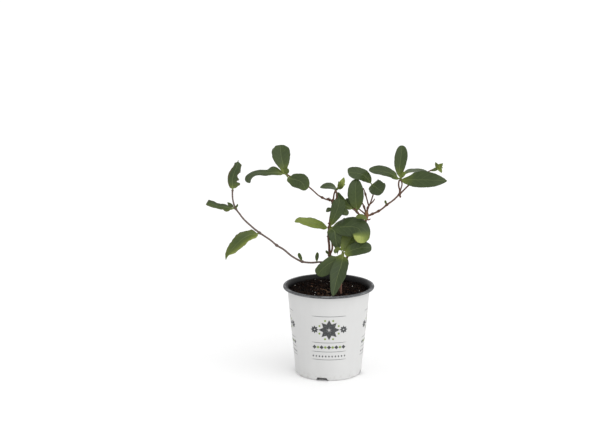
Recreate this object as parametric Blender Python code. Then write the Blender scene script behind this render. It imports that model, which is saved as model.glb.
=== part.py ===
"""Potted honeysuckle: a young climbing shrub in a round nursery pot.

Sizes are in millimetres and turned into metres where a mesh is made. The origin is the middle of
the pot's foot on the floor, +Z is up, +X is to the right and -Y is the side that is looked at.
"""

import math

import bpy
import numpy as np

MM = 0.001

# Pot: one moulding, with a straight tapered wall, a rolled lip and a raised floor
POT_HEIGHT = 113.0
POT_LIP_RADIUS = 57.15
POT_LIP_THICK = 2.8
POT_WALL_TOP_RADIUS = 52.0
POT_TAPER = 0.0962
POT_WALL = 1.2
POT_FLOOR_TOP = 2.8
POT_FOOT_RADIUS = 39.4
POT_PAD_RADIUS = 13.0
POT_SEGMENTS = 48
NOTCH_ANGLES = (-12.0, 78.0, 168.0, 258.0)
NOTCH_FOOT_WIDTH = 15.0
NOTCH_TOP_WIDTH = 11.0
NOTCH_HEIGHT = 4.2
NOTCH_REACH = (36.2, 46.0)

# Soil: a lumpy fill, a little below the lip and clear of the wall and the floor
GAP = 0.3
SOIL_TOP = 105.0
SOIL_SEGMENTS = 40
SOIL_RINGS = 6
HOLE_BOTTOM = 88.0
STEM_FOOT = 90.0

# Leaf thickness, and where the points of a blade lie: across it and from its base to its tip
BLADE_THICK = 0.8
RIB_THICK = 0.35
COLUMNS = np.array([-1.0, -0.5, 0.0, 0.5, 1.0])
STATIONS = np.array([0.0, 0.07, 0.18, 0.32, 0.48, 0.64, 0.79, 0.91, 1.0])
SMALL_COLUMNS = np.array([-1.0, 0.0, 1.0])
SMALL_STATIONS = np.array([0.0, 0.2, 0.5, 0.8, 1.0])
SMALL_WIDTH = 7.0

# Colours, in linear light
POT_WHITE = (0.72, 0.72, 0.71)
SOIL_BROWN = (0.02, 0.014, 0.011)
BARK_RED = (0.16, 0.075, 0.05)
BARK_GREY = (0.14, 0.085, 0.07)
SHOOT_GREEN = (0.16, 0.2, 0.045)
DARK_GREEN = (0.06, 0.1, 0.032)
MID_GREEN = (0.1, 0.16, 0.03)
LIGHT_GREEN = (0.26, 0.37, 0.04)


def curve_through(points, steps=16):
    """Smooth line through the points. Each span is a cubic whose end slopes are the chords before
    and after that point, weighted by the length of the other one. Extra columns, such as a radius,
    follow the same cubic."""
    p = np.array(points, float)
    span = np.linalg.norm(np.diff(p[:, :3], axis=0), axis=1)[:, None]
    chord = np.diff(p, axis=0) / span
    slope = np.vstack([chord[:1], chord])
    slope[1:-1] = (chord[:-1] * span[1:] + chord[1:] * span[:-1]) / (span[:-1] + span[1:])
    slope[-1] = chord[-1]
    t = np.linspace(0, 1, steps, endpoint=False)[:, None]
    parts = []
    for i in range(len(p) - 1):
        rise = (1 + 2 * t) * (1 - t) ** 2 * p[i] + t**2 * (3 - 2 * t) * p[i + 1]
        lean = t * (1 - t) ** 2 * slope[i] - t**2 * (1 - t) * slope[i + 1]
        parts.append(rise + lean * span[i])
    return np.vstack(parts + [p[-1:]])


def lengths_along(line):
    """Distance of each point of a line from its start."""
    return np.concatenate([[0], np.cumsum(np.linalg.norm(np.diff(line[:, :3], axis=0), axis=1))])


def sample(line, distances):
    """Points of a line at the given distances from its start."""
    along = lengths_along(line)
    return np.column_stack([np.interp(distances, along, line[:, k]) for k in range(line.shape[1])])


def unit(vectors):
    """Vectors of length one, row by row."""
    return vectors / np.linalg.norm(vectors, axis=-1, keepdims=True)


def tangents(line):
    """Direction of a line at each of its points."""
    return unit(np.gradient(line[:, :3], axis=0))


def material(name, color, roughness):
    """Plain Principled material."""
    mat = bpy.data.materials.new(name)
    mat.use_nodes = True
    shader = mat.node_tree.nodes["Principled BSDF"]
    shader.inputs["Base Color"].default_value = (*color, 1.0)
    shader.inputs["Roughness"].default_value = roughness
    return mat


def solid(name, points, faces, mat):
    """Mesh object from points in millimetres and faces that wind outwards."""
    mesh = bpy.data.meshes.new(name)
    mesh.from_pydata((np.asarray(points) * MM).tolist(), [], [list(map(int, f)) for f in faces])
    mesh.materials.append(mat)
    mesh.update()
    obj = bpy.data.objects.new(name, mesh)
    bpy.context.scene.collection.objects.link(obj)
    return obj


def rings_to_faces(count, sides, closed_ends=True):
    """Faces of a tube of rings, wound outwards when each ring turns anticlockwise about the path."""
    faces = []
    for i in range(count - 1):
        for j in range(sides):
            k = (j + 1) % sides
            a, b = i * sides + j, i * sides + k
            faces.append((a, b, b + sides))
            faces.append((a, b + sides, a + sides))
    if closed_ends:
        faces.append(tuple(range(sides))[::-1])
        faces.append(tuple(range((count - 1) * sides, count * sides)))
    return faces


def combine(obj, others, operation):
    """One Boolean of an object with a collection of others, applied, with the others removed."""
    group = bpy.data.collections.new(obj.name + "_tools")
    for other in others:
        group.objects.link(other)
    modifier = obj.modifiers.new("Boolean", "BOOLEAN")
    modifier.operation = operation
    modifier.operand_type = "COLLECTION"
    modifier.collection = group
    modifier.solver = "EXACT"
    graph = bpy.context.evaluated_depsgraph_get()
    mesh = bpy.data.meshes.new_from_object(obj.evaluated_get(graph))
    obj.modifiers.clear()
    obj.data = mesh
    mesh.name = obj.name
    for other in others:
        bpy.data.objects.remove(other)
    bpy.data.collections.remove(group)
    return obj


def tube(name, points, mat, sides=7, step=5.0, knots=(), swell=0.6):
    """Round stem along a curve. The points are x, y, z and radius. At each knot, a point's number,
    the radius swells by a bell curve 1.6 mm wide. The far end is rounded off."""
    line = curve_through(points)
    along = lengths_along(line)
    total = along[-1]
    knot_at = np.array([along[16 * k] for k in knots])
    stations = np.linspace(0, total, max(3, round(total / step) + 1))
    for at in knot_at:
        stations = stations[np.abs(stations - at) > 2.6]
        stations = np.concatenate([stations, at + np.array([-2.4, -0.9, 0.9, 2.4])])
    stations = np.unique(np.clip(stations, 0, total))
    inner = np.abs(stations - total / 2) < total / 2 - 0.7
    stations = stations[(stations == 0) | (stations == total) | inner]
    path = sample(line, stations)
    along_t = tangents(path)
    radius = path[:, 3].copy()
    for at in knot_at:
        radius += swell * np.exp(-(((stations - at) / 1.6) ** 2))
    tip = path[-1:].copy()
    tip[0, :3] += along_t[-1] * radius[-1] * 0.5
    path = np.vstack([path, tip])
    along_t = np.vstack([along_t, along_t[-1:]])
    radius = np.append(radius, radius[-1] * 0.55)
    side = np.empty((len(path), 3))
    side[0] = np.cross(along_t[0], (0.0, 1.0, 0.0))
    for i in range(1, len(path)):
        side[i] = side[i - 1] / np.linalg.norm(side[i - 1])
        side[i] -= along_t[i] * (side[i] @ along_t[i])
    side = unit(side)
    up = np.cross(along_t, side)
    turn = np.arange(sides) * math.tau / sides
    rings = side[:, None] * np.cos(turn)[:, None] + up[:, None] * np.sin(turn)[:, None]
    rings = path[:, None, :3] + rings * radius[:, None, None]
    return solid(name, rings.reshape(-1, 3), rings_to_faces(len(path), sides), mat)


def leaf(name, path, width, faces, mat, rise=0.7, fall=0.5, fold=0.15, curl=0.0, wave=0.0,
         waves=2.0, bites=(), stalk=4.0, stalk_radius=0.7, clear=2.0):
    """One leaf with its stalk, as a closed shell along the curve of its midrib.

    The first point of the path lies in the stem, and the leaf starts the distance "clear" along it.
    With q from 0 at the blade's base to 1 at its tip, the half width is
    width / 2 * (q / m)^rise * ((1 - q) / (1 - m))^fall, where m = rise / (rise + fall) is the widest
    place. Across the blade, e runs from -1 to 1. It is lifted by fold * |e| and curl * e^2 times the
    half width, and by a wave of "wave" mm at the edges. "faces" are the ways that the upper side
    looks, evenly spaced from the base to the tip. A bite is (side, place, half length, depth)."""
    columns, stations = (SMALL_COLUMNS, SMALL_STATIONS) if width < SMALL_WIDTH else (COLUMNS, STATIONS)
    line = curve_through(path)
    total = lengths_along(line)[-1]
    places = clear + stalk + (total - clear - stalk) * stations
    places = np.concatenate([[clear, clear + stalk * 0.5], places])
    q = np.concatenate([[0.0, 0.0], stations])
    middle = sample(line, places)
    along = tangents(middle)
    ways = unit(np.array(faces, float))
    keys = np.linspace(0, 1, len(ways))
    normal = np.column_stack([np.interp(q, keys, ways[:, k]) for k in range(3)])
    normal = unit(normal - along * (normal * along).sum(axis=1, keepdims=True))
    side = np.cross(along, normal)
    widest = rise / (rise + fall)
    half = width / 2 * (q / widest) ** rise * ((1 - q) / (1 - widest)) ** fall
    half = np.hypot(half, stalk_radius * (1 - q) + 0.4 * q)[:, None] * np.ones(len(columns))
    for which, place, reach, depth in bites:
        bump = np.clip(1 - ((q - place) / reach) ** 2, 0, 1)[:, None]
        half = half * (1 - depth * bump * (columns * which > 0))
    e = columns[None, :]
    q = q[:, None]
    lift = half * (fold * np.abs(e) + curl * e**2)
    lift = lift + wave * np.sin(math.tau * waves * q + 1.6 * e) * e**2 * np.sin(math.pi * q)
    body = np.clip(1 - q / 0.25, 0, 1) * (2 * stalk_radius - BLADE_THICK)
    rib = (1 - np.abs(e)) * (body + RIB_THICK * (1 - q) * (q > 0))
    above = BLADE_THICK / 2 + 0.3 * rib
    below = BLADE_THICK / 2 + 0.7 * rib
    base = middle[:, None, :] + side[:, None] * (half * e)[..., None]
    top = base + normal[:, None] * (lift + above)[..., None]
    bottom = base + normal[:, None] * (lift - below)[..., None]
    return solid(name, np.concatenate([top.reshape(-1, 3), bottom.reshape(-1, 3)]),
                 shell_faces(*top.shape[:2]), mat)


def shell_faces(rows, columns):
    """Triangles of a blade: an upper grid and a lower one split alike, joined all round the rim."""
    faces = []
    low = rows * columns
    for i in range(rows - 1):
        for j in range(columns - 1):
            a = i * columns + j
            b, c, d = a + 1, a + columns + 1, a + columns
            faces += [(a, b, c), (a, c, d)]
            faces += [(low + a, low + c, low + b), (low + a, low + d, low + c)]
        a, d = i * columns, i * columns + columns
        faces += [(a, d, low + d), (a, low + d, low + a)]
        a, d = a + columns - 1, d + columns - 1
        faces += [(a, low + d, d), (a, low + a, low + d)]
    for j in range(columns - 1):
        a, b = j, j + 1
        faces += [(a, low + a, low + b), (a, low + b, b)]
        a, b = (rows - 1) * columns + j, (rows - 1) * columns + j + 1
        faces += [(a, low + b, low + a), (a, b, low + b)]
    return faces


def wall_radius(z):
    """Outer radius of the pot's wall at a height."""
    return POT_WALL_TOP_RADIUS - POT_TAPER * (POT_HEIGHT - z)


def revolve(name, profile, segments, mat):
    """Solid of a profile of (radius, height) that starts and ends on the axis and winds so that the
    outside is on its right-hand side going up."""
    profile = np.array(profile, float)
    turn = np.arange(segments) * math.tau / segments
    ring = np.column_stack([np.cos(turn), np.sin(turn)])
    points = [(0, 0, profile[0, 1])]
    for radius, z in profile[1:-1]:
        points += [(radius * x, radius * y, z) for x, y in ring]
    points.append((0, 0, profile[-1, 1]))
    faces = []
    rows = len(profile) - 2
    for j in range(segments):
        k = (j + 1) % segments
        faces.append((0, 1 + k, 1 + j))
        for i in range(rows - 1):
            a, b = 1 + i * segments + j, 1 + i * segments + k
            faces.append((a, b, b + segments, a + segments))
        last = 1 + (rows - 1) * segments
        faces.append((last + j, last + k, len(points) - 1))
    return solid(name, points, faces, mat)


def notch_cutter(angle):
    """Trapezoid prism that cuts one drain notch through the heel. The angle is from the front."""
    across = np.array([-0.5, 0.5, 0.5, -0.5])
    low = across * NOTCH_FOOT_WIDTH * np.array([1.15, 1.15, 1, 1]) * np.array([1, 1, 0, 0])
    top = across * NOTCH_TOP_WIDTH * np.array([0, 0, 1, 1])
    points = []
    for reach in NOTCH_REACH:
        points += [(x, -reach, z) for x, z in zip(low + top, (-1.0, -1.0, NOTCH_HEIGHT, NOTCH_HEIGHT))]
    faces = [(3, 2, 1, 0), (4, 5, 6, 7), (0, 1, 5, 4), (1, 2, 6, 5), (2, 3, 7, 6), (3, 0, 4, 7)]
    turn = math.radians(angle)
    spin = np.array([[math.cos(turn), -math.sin(turn), 0], [math.sin(turn), math.cos(turn), 0], [0, 0, 1]])
    return solid("notch", np.array(points) @ spin.T, faces, POT_MATERIAL)


def make_pot():
    """Revolved wall, lip and floor, with the four drain notches cut out of the heel."""
    lip = POT_LIP_RADIUS
    top = POT_HEIGHT
    under = top - POT_LIP_THICK
    profile = [
        (0, 0), (POT_PAD_RADIUS, 0), (POT_PAD_RADIUS + 1, 1.0), (POT_FOOT_RADIUS - 4.5, 1.0),
        (POT_FOOT_RADIUS - 3.5, 0), (POT_FOOT_RADIUS, 0), (40.7, 0.6), (41.35, 2.2),
        (wall_radius(under - 0.6), under - 0.6), (wall_radius(under) + 0.9, under),
        (lip - 1.0, under), (lip - 0.2, under + 0.7), (lip, under + 1.5), (lip - 0.5, top - 0.5),
        (lip - 1.7, top), (lip - 3.6, top), (lip - 4.8, top - 0.5), (lip - 6.1, top - 2.0),
        (wall_radius(top - 5) - POT_WALL, top - 5), (wall_radius(4.6) - POT_WALL, 4.6),
        (wall_radius(4.6) - POT_WALL - 1.6, POT_FLOOR_TOP), (0, POT_FLOOR_TOP),
    ]
    pot = revolve("pot", profile, POT_SEGMENTS, POT_MATERIAL)
    return combine(pot, [notch_cutter(angle) for angle in NOTCH_ANGLES], "DIFFERENCE")


def soil_height(x, y):
    """Height of the soil: a level with low mounds, clods about 9 mm across and a slight dip at the
    wall, all from sines of the two sides."""
    mounds = 0.9 * np.sin(x / 13 + 0.6) * np.cos(y / 11 - 0.4)
    clods = 0.7 * np.sin(x / 2.9 + 1.3 * np.sin(y / 5.3)) * np.sin(y / 3.1 + 0.8)
    dip = -1.3 * (np.hypot(x, y) / 50) ** 6
    return SOIL_TOP + mounds + clods + dip


def make_soil(stems):
    """Fill that follows the wall 0.3 mm inside it, with a plain hole for each stem."""
    turn = np.arange(SOIL_SEGMENTS) * math.tau / SOIL_SEGMENTS
    foot = wall_radius(6) - POT_WALL - GAP - 1.4
    brim = wall_radius(SOIL_TOP - 3) - POT_WALL - GAP - 0.2
    levels = [(foot - 2.0, POT_FLOOR_TOP + GAP), (foot, 6.5), (brim, SOIL_TOP - 3)]
    points = [(0, 0, POT_FLOOR_TOP + GAP)]
    for radius, z in levels:
        points += [(radius * math.cos(a), radius * math.sin(a), z) for a in turn]
    for radius in np.linspace(brim, brim / SOIL_RINGS, SOIL_RINGS):
        x, y = radius * np.cos(turn), radius * np.sin(turn)
        points += list(zip(x, y, soil_height(x, y)))
    points.append((0, 0, float(soil_height(0.0, 0.0))))
    faces = []
    rows = len(levels) + SOIL_RINGS
    for j in range(SOIL_SEGMENTS):
        k = (j + 1) % SOIL_SEGMENTS
        faces.append((0, 1 + k, 1 + j))
        for i in range(rows - 1):
            a, b = 1 + i * SOIL_SEGMENTS + j, 1 + i * SOIL_SEGMENTS + k
            faces += [(a, b, b + SOIL_SEGMENTS), (a, b + SOIL_SEGMENTS, a + SOIL_SEGMENTS)]
        last = 1 + (rows - 1) * SOIL_SEGMENTS
        faces.append((last + j, last + k, len(points) - 1))
    soil = solid("soil", points, faces, material("soil", SOIL_BROWN, 0.9))
    holes = []
    for x, y, radius in stems:
        wide = (radius + GAP) / math.cos(math.pi / 10)
        hole = [(x, y, HOLE_BOTTOM, wide), (x, y, SOIL_TOP + 8, wide)]
        holes.append(tube("hole", hole, POT_MATERIAL, sides=10, step=30))
    return combine(soil, holes, "DIFFERENCE")


for item in list(bpy.data.objects):
    bpy.data.objects.remove(item)

POT_MATERIAL = material("pot", POT_WHITE, 0.4)
RED = material("bark_red", BARK_RED, 0.65)
GREY = material("bark_grey", BARK_GREY, 0.65)
SHOOT = material("shoot_green", SHOOT_GREEN, 0.55)
DARK = material("leaf_dark", DARK_GREEN, 0.5)
MID = material("leaf_mid", MID_GREEN, 0.5)
LIGHT = material("leaf_light", LIGHT_GREEN, 0.5)

# Pot and soil
make_pot()
make_soil(((5, -8, 1.7), (14, -14, 1.5), (15, -20, 1.0)))

# Centre stem, with the side stem that leaves it low down and comes back, and its top fork
centre = tube("stem_centre", [
    (5, -8, STEM_FOOT, 1.7), (5, -8, 107, 1.7), (4, -8, 122, 1.6), (3, -7, 137, 1.5), (1, -6, 153, 1.5),
    (0, -5, 170, 1.4), (-0.5, -5, 187, 1.4), (1.7, -4, 206, 1.2), (3, -2, 222, 1.3),
], RED, knots=(4, 6, 8), swell=0.8)
combine(centre, [
    tube("side", [(1, -6, 153, 1.1), (4, -8, 161, 1.1), (3.5, -8.5, 173, 1.1), (2, -7, 184, 1.0),
                  (0, -5.3, 190, 0.9)], RED),
    tube("fork_a", [(3, -2, 221, 1.0), (4.5, -3.5, 228, 0.9), (8.5, -5, 237, 0.9)], RED),
    tube("fork_b", [(3, -2, 221, 1.0), (8, -3, 226, 0.9), (9.5, -5, 236, 0.9)], RED),
], "UNION")

# Long low runner, from the centre stem out to the left, and the short runner above it
tube("stem_runner_low", [
    (0.3, -7.2, 143, 1.1), (-11, -10, 145, 1.1), (-22, -14, 145.4, 1.1), (-34, -18, 149, 1.1),
    (-49, -21, 160, 1.0), (-63, -23, 170, 1.0), (-73, -24, 177, 1.0), (-87, -25, 186, 1.0),
    (-100, -26, 198, 0.9), (-108, -26, 207, 0.9), (-116, -27, 219, 0.9), (-119, -26, 232, 0.85),
    (-119, -25, 239, 0.8),
], GREY, sides=6, knots=(3, 5, 7, 10), swell=0.6)
tube("stem_runner_high", [
    (0.85, -0.85, 222, 0.9), (-8, 4, 224, 0.9), (-20, 11, 233, 0.85), (-26, 14, 237, 0.85),
    (-38, 19, 243, 0.8), (-49, 23, 248, 0.8), (-54, 25, 250, 0.9),
], RED, sides=6, knots=(1, 3, 6), swell=0.6)

# Right stem up to the hub, with the arm, its two stalks and the twigs above the hub
right = tube("stem_right", [
    (14, -14, STEM_FOOT, 1.5), (14, -14, 108, 1.5), (16, -13, 128, 1.5), (19, -12, 142, 1.4),
    (23, -10, 152, 1.4), (30, -5, 164, 1.3), (39, 0, 180, 1.3), (45.5, 4, 194, 1.9), (47, 5, 203, 1.8),
], RED, knots=(7,), swell=0.7)
combine(right, [
    tube("arm", [(46.5, 5, 200, 1.3), (54, 6, 202, 1.2), (63, 8, 207, 1.1), (72, 11, 214, 1.1),
                 (88, 16, 226, 1.1), (100, 20, 236, 0.9), (114, 25, 246, 0.85), (125, 29, 252, 0.8),
                 (131, 31, 254.5, 0.8)], RED, sides=6, knots=(2, 3, 4, 5), swell=0.6),
    tube("stalk_a", [(88, 16, 226, 0.9), (88, 15, 233, 0.8), (87, 13, 239, 0.8), (88.6, 12, 246, 0.9)],
         RED, sides=6),
    tube("stalk_b", [(88, 16, 226, 0.9), (91, 17, 234, 0.8), (92, 15, 240, 0.8), (89.4, 12, 246, 0.9)],
         RED, sides=6),
    tube("whorl", [(89, 12.3, 244, 1.3), (89, 12, 246.5, 1.4)], RED, step=1.2),
    tube("arm_stub", [(88, 16, 226, 0.9), (89, 16, 222, 0.8)], RED, sides=6),
    tube("hub_stub", [(46, 5, 197, 1.1), (51, 5, 195.5, 0.9)], RED, sides=6),
    tube("twig_a", [(47, 5, 202, 1.1), (49, 5, 211, 1.0), (52, 5, 217, 0.9), (54, 6, 227, 0.8),
                    (53.5, 7, 238, 0.8)], RED, sides=6, knots=(1,), swell=0.4),
    tube("twig_b", [(52, 5, 217, 0.7), (55, 3, 221, 0.6), (57, 1, 224, 0.5)], RED, sides=6),
    tube("twig_c", [(50, 5, 213, 0.8), (47, 9, 221, 0.75), (46, 12, 227, 0.7), (43, 15, 234, 0.6)],
         RED, sides=6, knots=(2,), swell=0.4),
    tube("twig_d", [(46.5, 5, 203, 0.9), (45, 8, 212, 0.7), (40, 11, 218, 0.7), (36, 13, 224, 0.6)],
         RED, sides=6, knots=(1,), swell=0.4),
    tube("twig_e", [(45, 3.6, 192, 0.9), (38, 0, 203, 0.9), (33, -2, 209, 0.8), (28, -3, 213, 0.8)],
         RED, sides=6, knots=(2,), swell=0.4),
    tube("twig_f", [(46.5, 5, 201, 0.8), (40, 2, 208, 0.7), (36, 0.5, 211.5, 0.8)], RED, sides=6),
], "UNION")

# Young green shoot in front of the right stem
tube("stem_green", [
    (15, -20, STEM_FOOT, 1.0), (15, -20, 108, 1.0), (15.5, -20, 125, 1.0), (16, -20, 140, 1.0),
    (17, -21, 153, 1.0), (17, -22, 160, 1.1),
], SHOOT, sides=6, knots=(5,), swell=0.5)

# Leaves of the low runner
leaf("leaf_low_a", [(-87, -25, 186), (-94, -28, 186), (-100.5, -32, 183.5), (-112, -34, 175),
                    (-120.5, -33, 167.5), (-125.5, -31, 160), (-127, -28, 154)], 16,
     ((-0.3, -0.75, 0.6), (-0.35, -0.9, 0.3), (0.2, -0.9, 0.2)), LIGHT, rise=0.5, fall=1.0, fold=0.2,
     wave=0.9, clear=3.2)
leaf("leaf_low_b", [(-116, -27, 219), (-119.5, -29, 219.4), (-125.7, -32, 220), (-135.5, -34, 223),
                    (-143.5, -34, 225.5), (-151, -32, 227.5)], 9.5,
     ((0, -0.6, 0.8), (0.1, -0.65, 0.75), (0, -0.6, 0.8)), MID, rise=0.35, fall=0.3, fold=0.4,
     wave=0.7, bites=((-1, 0.25, 0.2, -0.4), (1, 0.5, 1.0, 0.4), (1, 1.0, 0.1, 0.5)), stalk=2.0)
leaf("leaf_low_c", [(-116, -27, 219), (-120.5, -24, 221.5), (-126, -22, 224.5)], 5,
     ((-0.3, -0.7, 0.6), (-0.3, -0.7, 0.6)), MID, stalk=1.0, stalk_radius=0.6, clear=2.5)
leaf("leaf_low_d", [(-116, -27, 219), (-113.7, -29, 221.8), (-111, -30, 225.5)], 2.8,
     ((0.5, -0.8, 0.0), (0.5, -0.8, 0.0)), MID, stalk=1.0, stalk_radius=0.6)
leaf("leaf_low_e", [(-119, -25, 239), (-119.5, -26.5, 248), (-119, -29, 255), (-117.3, -30, 264),
                    (-115.3, -29, 271), (-114, -27, 275), (-112, -25, 277.3)], 17,
     ((0.1, -0.95, 0.1), (0.3, -0.9, 0.3), (0.5, -0.8, 0.3)), MID, rise=0.45, fall=0.4, fold=0.3,
     wave=0.6, stalk=1.5, clear=0.9,
     bites=((-1, 0.55, 1.0, 0.5), (-1, 1.0, 0.17, 0.6), (1, 0.22, 0.12, -0.3),
            (1, 0.47, 0.17, 0.5), (1, 1.0, 0.17, 0.75)))

# Leaves of the high runner
leaf("leaf_high_a", [(-54, 25, 250), (-55.3, 25, 256), (-58.3, 28, 269.5), (-61, 33, 285)], 22.5,
     ((0.1, -0.95, 0.2), (0.1, -0.95, 0.3), (0.05, -0.9, 0.4)), DARK, rise=0.75, fall=0.4, fold=0.18)
leaf("leaf_high_b", [(-54, 25, 250), (-59.5, 24, 252.7), (-66, 23, 254), (-83, 21, 252.8),
                     (-97, 19, 250.7), (-103.5, 18, 246), (-102, 18, 240)], 17,
     ((-0.1, -0.8, 0.6), (-0.05, -0.3, 0.95), (0, 0, 1), (-0.3, 0, 0.95), (-1, -0.1, 0.1)), MID,
     rise=0.6, fall=0.5, fold=0.1, curl=-0.15, clear=1.8)
leaf("leaf_high_c", [(-54, 25, 250), (-53.2, 20.8, 251), (-49.6, 16.2, 250.6), (-43, 12, 247.5),
                     (-36.5, 4, 243.3), (-31.5, -3, 239), (-29.7, -5, 237)], 17.3,
     ((-0.4, -0.5, 0.75), (-0.5, -0.65, 0.6), (-0.45, -0.7, 0.5)), DARK, rise=0.6, fall=0.4, fold=0.1,
     curl=-0.1, stalk=5.5)
leaf("leaf_high_d", [(-54, 25, 250), (-51.5, 23.4, 253.5), (-49.7, 23, 256.5)], 4,
     ((0.2, -0.9, 0.2), (0.2, -0.9, 0.2)), LIGHT, stalk=1.0, stalk_radius=0.6)

# Leaves of the centre stem
leaf("leaf_centre_a", [(-1, -5, 187), (-4, -9, 189), (-15, -15, 194.5), (-28.5, -21, 200),
                       (-38.5, -25, 202), (-42, -26, 201)], 11.5,
     ((0, -0.75, 0.65), (0, -0.8, 0.6)), LIGHT, rise=0.6, fall=0.6, wave=0.4, clear=2.3)
leaf("leaf_centre_b", [(0, -5.5, 190), (3.6, -9.5, 194), (6.7, -13, 199.5), (9.5, -16, 208),
                       (12.8, -17, 217.5), (15.8, -16, 227)], 17,
     ((-0.1, -0.9, 0.4), (-0.1, -0.95, 0.25), (-0.1, -0.95, 0.1)), DARK, fall=0.4, clear=2.0)
leaf("leaf_centre_c", [(-1, -5, 187), (8.7, -10.5, 190.2), (19.7, -15, 194), (32, -20, 193.5),
                       (40, -24.5, 190), (42.7, -28.5, 183), (40.5, -31, 175)], 24,
     ((0, -0.6, 0.8), (0.1, -0.65, 0.75), (0.25, -0.8, 0.55), (0.2, -0.9, 0.35), (0.1, -0.95, 0.2)),
     DARK, rise=0.75, fall=0.45, fold=0.08, curl=-0.15, clear=3.7,
     bites=((1, 0.7, 0.3, 0.25), (-1, 0.6, 0.25, -0.12), (-1, 0.97, 0.25, 0.35)))
leaf("leaf_centre_d", [(2, -7, 184), (5.2, -12, 184.5), (7.3, -16, 181), (7.8, -18, 174),
                       (8.1, -18, 165), (7.9, -17, 158)], 17,
     ((-0.1, -0.6, 0.8), (-0.1, -0.97, 0.1), (0, -0.97, 0.1)), DARK, rise=0.5, fall=0.7, clear=1.3)
leaf("leaf_centre_e", [(2, -3, 214.5), (-0.9, -7, 212.8), (-4, -9, 208.8)], 6,
     ((-0.4, -0.8, 0.4), (-0.4, -0.8, 0.4)), DARK, stalk=1.5, stalk_radius=0.6, clear=1.7)
leaf("leaf_centre_f", [(1.5, -4.3, 202), (8.5, -7, 207), (17.3, -9, 210), (24.5, -10, 207)], 9,
     ((0, -0.85, 0.5), (0.2, -0.85, 0.4)), DARK, fall=0.4, clear=2.3)
leaf("leaf_centre_g", [(9, -5, 237), (7, -8, 240), (1, -12, 242), (-6.5, -15, 242.5), (-11, -16, 241.5)],
     12, ((0, -0.45, 0.9), (-0.1, -0.45, 0.9)), DARK, stalk=2.0, clear=1.3)

# Leaves of the green shoot
leaf("leaf_green_a", [(17, -22, 160), (13.5, -24.5, 156.5), (6, -26.5, 152.5), (-2.6, -28, 147.3),
                      (-9.5, -28, 140.5), (-15, -27, 133.7)], 17.5,
     ((-0.2, -0.9, 0.35), (-0.2, -0.95, 0.25), (-0.2, -0.95, 0.2)), DARK, fall=0.4, clear=2.3)
leaf("leaf_green_b", [(17, -22, 160), (17.4, -27, 155.5), (15.5, -35, 145.5), (11.8, -43, 137.5),
                      (8.2, -51, 128), (5.5, -57.5, 121), (4.2, -62, 115.8)], 19,
     ((0, -0.65, 0.75), (0, -0.75, 0.65), (0, -0.8, 0.6)), MID, rise=0.8, fall=0.7, fold=0.2, clear=2.2)
leaf("leaf_green_c", [(17, -22, 160), (22, -23, 161), (33, -25, 166), (43, -26, 168), (52, -25, 168)],
     17, ((0, -0.8, 0.6), (0.1, -0.8, 0.6)), DARK, fall=0.45, fold=0.12, clear=1.9)
leaf("leaf_green_d", [(17, -22, 160), (20, -18, 165), (25, -14, 170.5), (30, -12, 176), (33.7, -12, 180)],
     14, ((-0.3, -0.9, 0.3), (-0.3, -0.9, 0.3)), MID, fold=0.4, clear=1.6)
leaf("leaf_green_e", [(17, -22, 160), (14, -26, 164), (10.3, -28, 165), (6.6, -28, 162.5)], 5,
     ((0, -0.6, 0.8), (0, -0.6, 0.8)), MID, stalk=1.0, stalk_radius=0.6, clear=1.6)

# Leaves of the twigs above the hub
leaf("leaf_hub_a", [(28, -3, 213), (24.2, -3, 215.5), (17.6, -1.5, 220.5), (12.7, 0, 226.5),
                    (10.4, 0, 230.5)], 9, ((-0.1, -0.95, 0.2), (-0.1, -0.95, 0.2)), DARK, stalk=2.0,
     clear=1.5)
leaf("leaf_hub_b", [(28, -3, 213), (26.8, 1, 216.3), (25, 5, 220.5), (24, 9, 226.5)], 13,
     ((0, -0.8, 0.6), (0, -0.8, 0.6)), DARK, fall=0.4, stalk=2.0, clear=1.5)
leaf("leaf_hub_c", [(36, 0.5, 211.5), (35, -2, 215.5), (32.8, -5, 227), (32.3, -4, 237), (32.2, 0, 247)],
     19, ((-0.05, -0.95, 0.1), (-0.05, -0.95, 0.2), (-0.05, -0.9, 0.4)), DARK, rise=0.5, fall=0.45,
     stalk=2.5, clear=0.9)
leaf("leaf_hub_d", [(53.5, 7, 238), (51.8, 6, 242.5), (47, 4, 249), (39.4, 2, 254.3), (31, 0, 257.5),
                    (24, -1, 258)], 14.5,
     ((-0.4, -0.7, 0.5), (-0.15, -0.7, 0.7), (0, -0.7, 0.7)), DARK, rise=0.8, fall=0.4, fold=0.12,
     curl=-0.1, clear=1.0)
leaf("leaf_hub_e", [(53.5, 7, 238), (53.8, 2.5, 240.2), (56.2, -5, 240.5), (60, -11, 239), (64.5, -16, 235)],
     17, ((-0.3, -0.5, 0.8), (-0.4, -0.7, 0.6), (-0.4, -0.75, 0.5)), DARK, rise=0.5, fall=0.3,
     stalk=2.0, clear=1.9)

# Leaves of the whorl on the arm
leaf("leaf_arm_a", [(89, 12, 246), (88.2, 12, 255), (88.5, 13, 267.5), (89.5, 15, 278.5), (90.6, 19, 287.5)],
     15.6, ((0, -0.95, 0.1), (0, -0.95, 0.2), (0, -0.9, 0.4)), DARK, rise=0.75, fall=0.45, fold=0.2,
     clear=1.7)
leaf("leaf_arm_b", [(89, 12, 246), (82, 8, 250.2), (70.5, 2, 257), (59, -2, 260.3), (49.6, -4, 260.5)],
     14, ((-0.2, -0.5, 0.85), (-0.2, -0.5, 0.85)), DARK, clear=1.7)
leaf("leaf_arm_c", [(89, 12, 246), (93.6, 18, 248.6), (102.5, 29, 250.5), (113, 39, 250), (124, 46, 249)],
     14, ((0.1, -0.15, 1), (0.1, -0.15, 1)), DARK, clear=1.7)
leaf("leaf_arm_d", [(89, 12, 246), (91.2, 7, 251.5), (94.5, 5, 256.5)], 5,
     ((-0.2, -0.9, 0.3), (-0.2, -0.9, 0.3)), LIGHT, stalk=2.0, clear=1.8)
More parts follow.
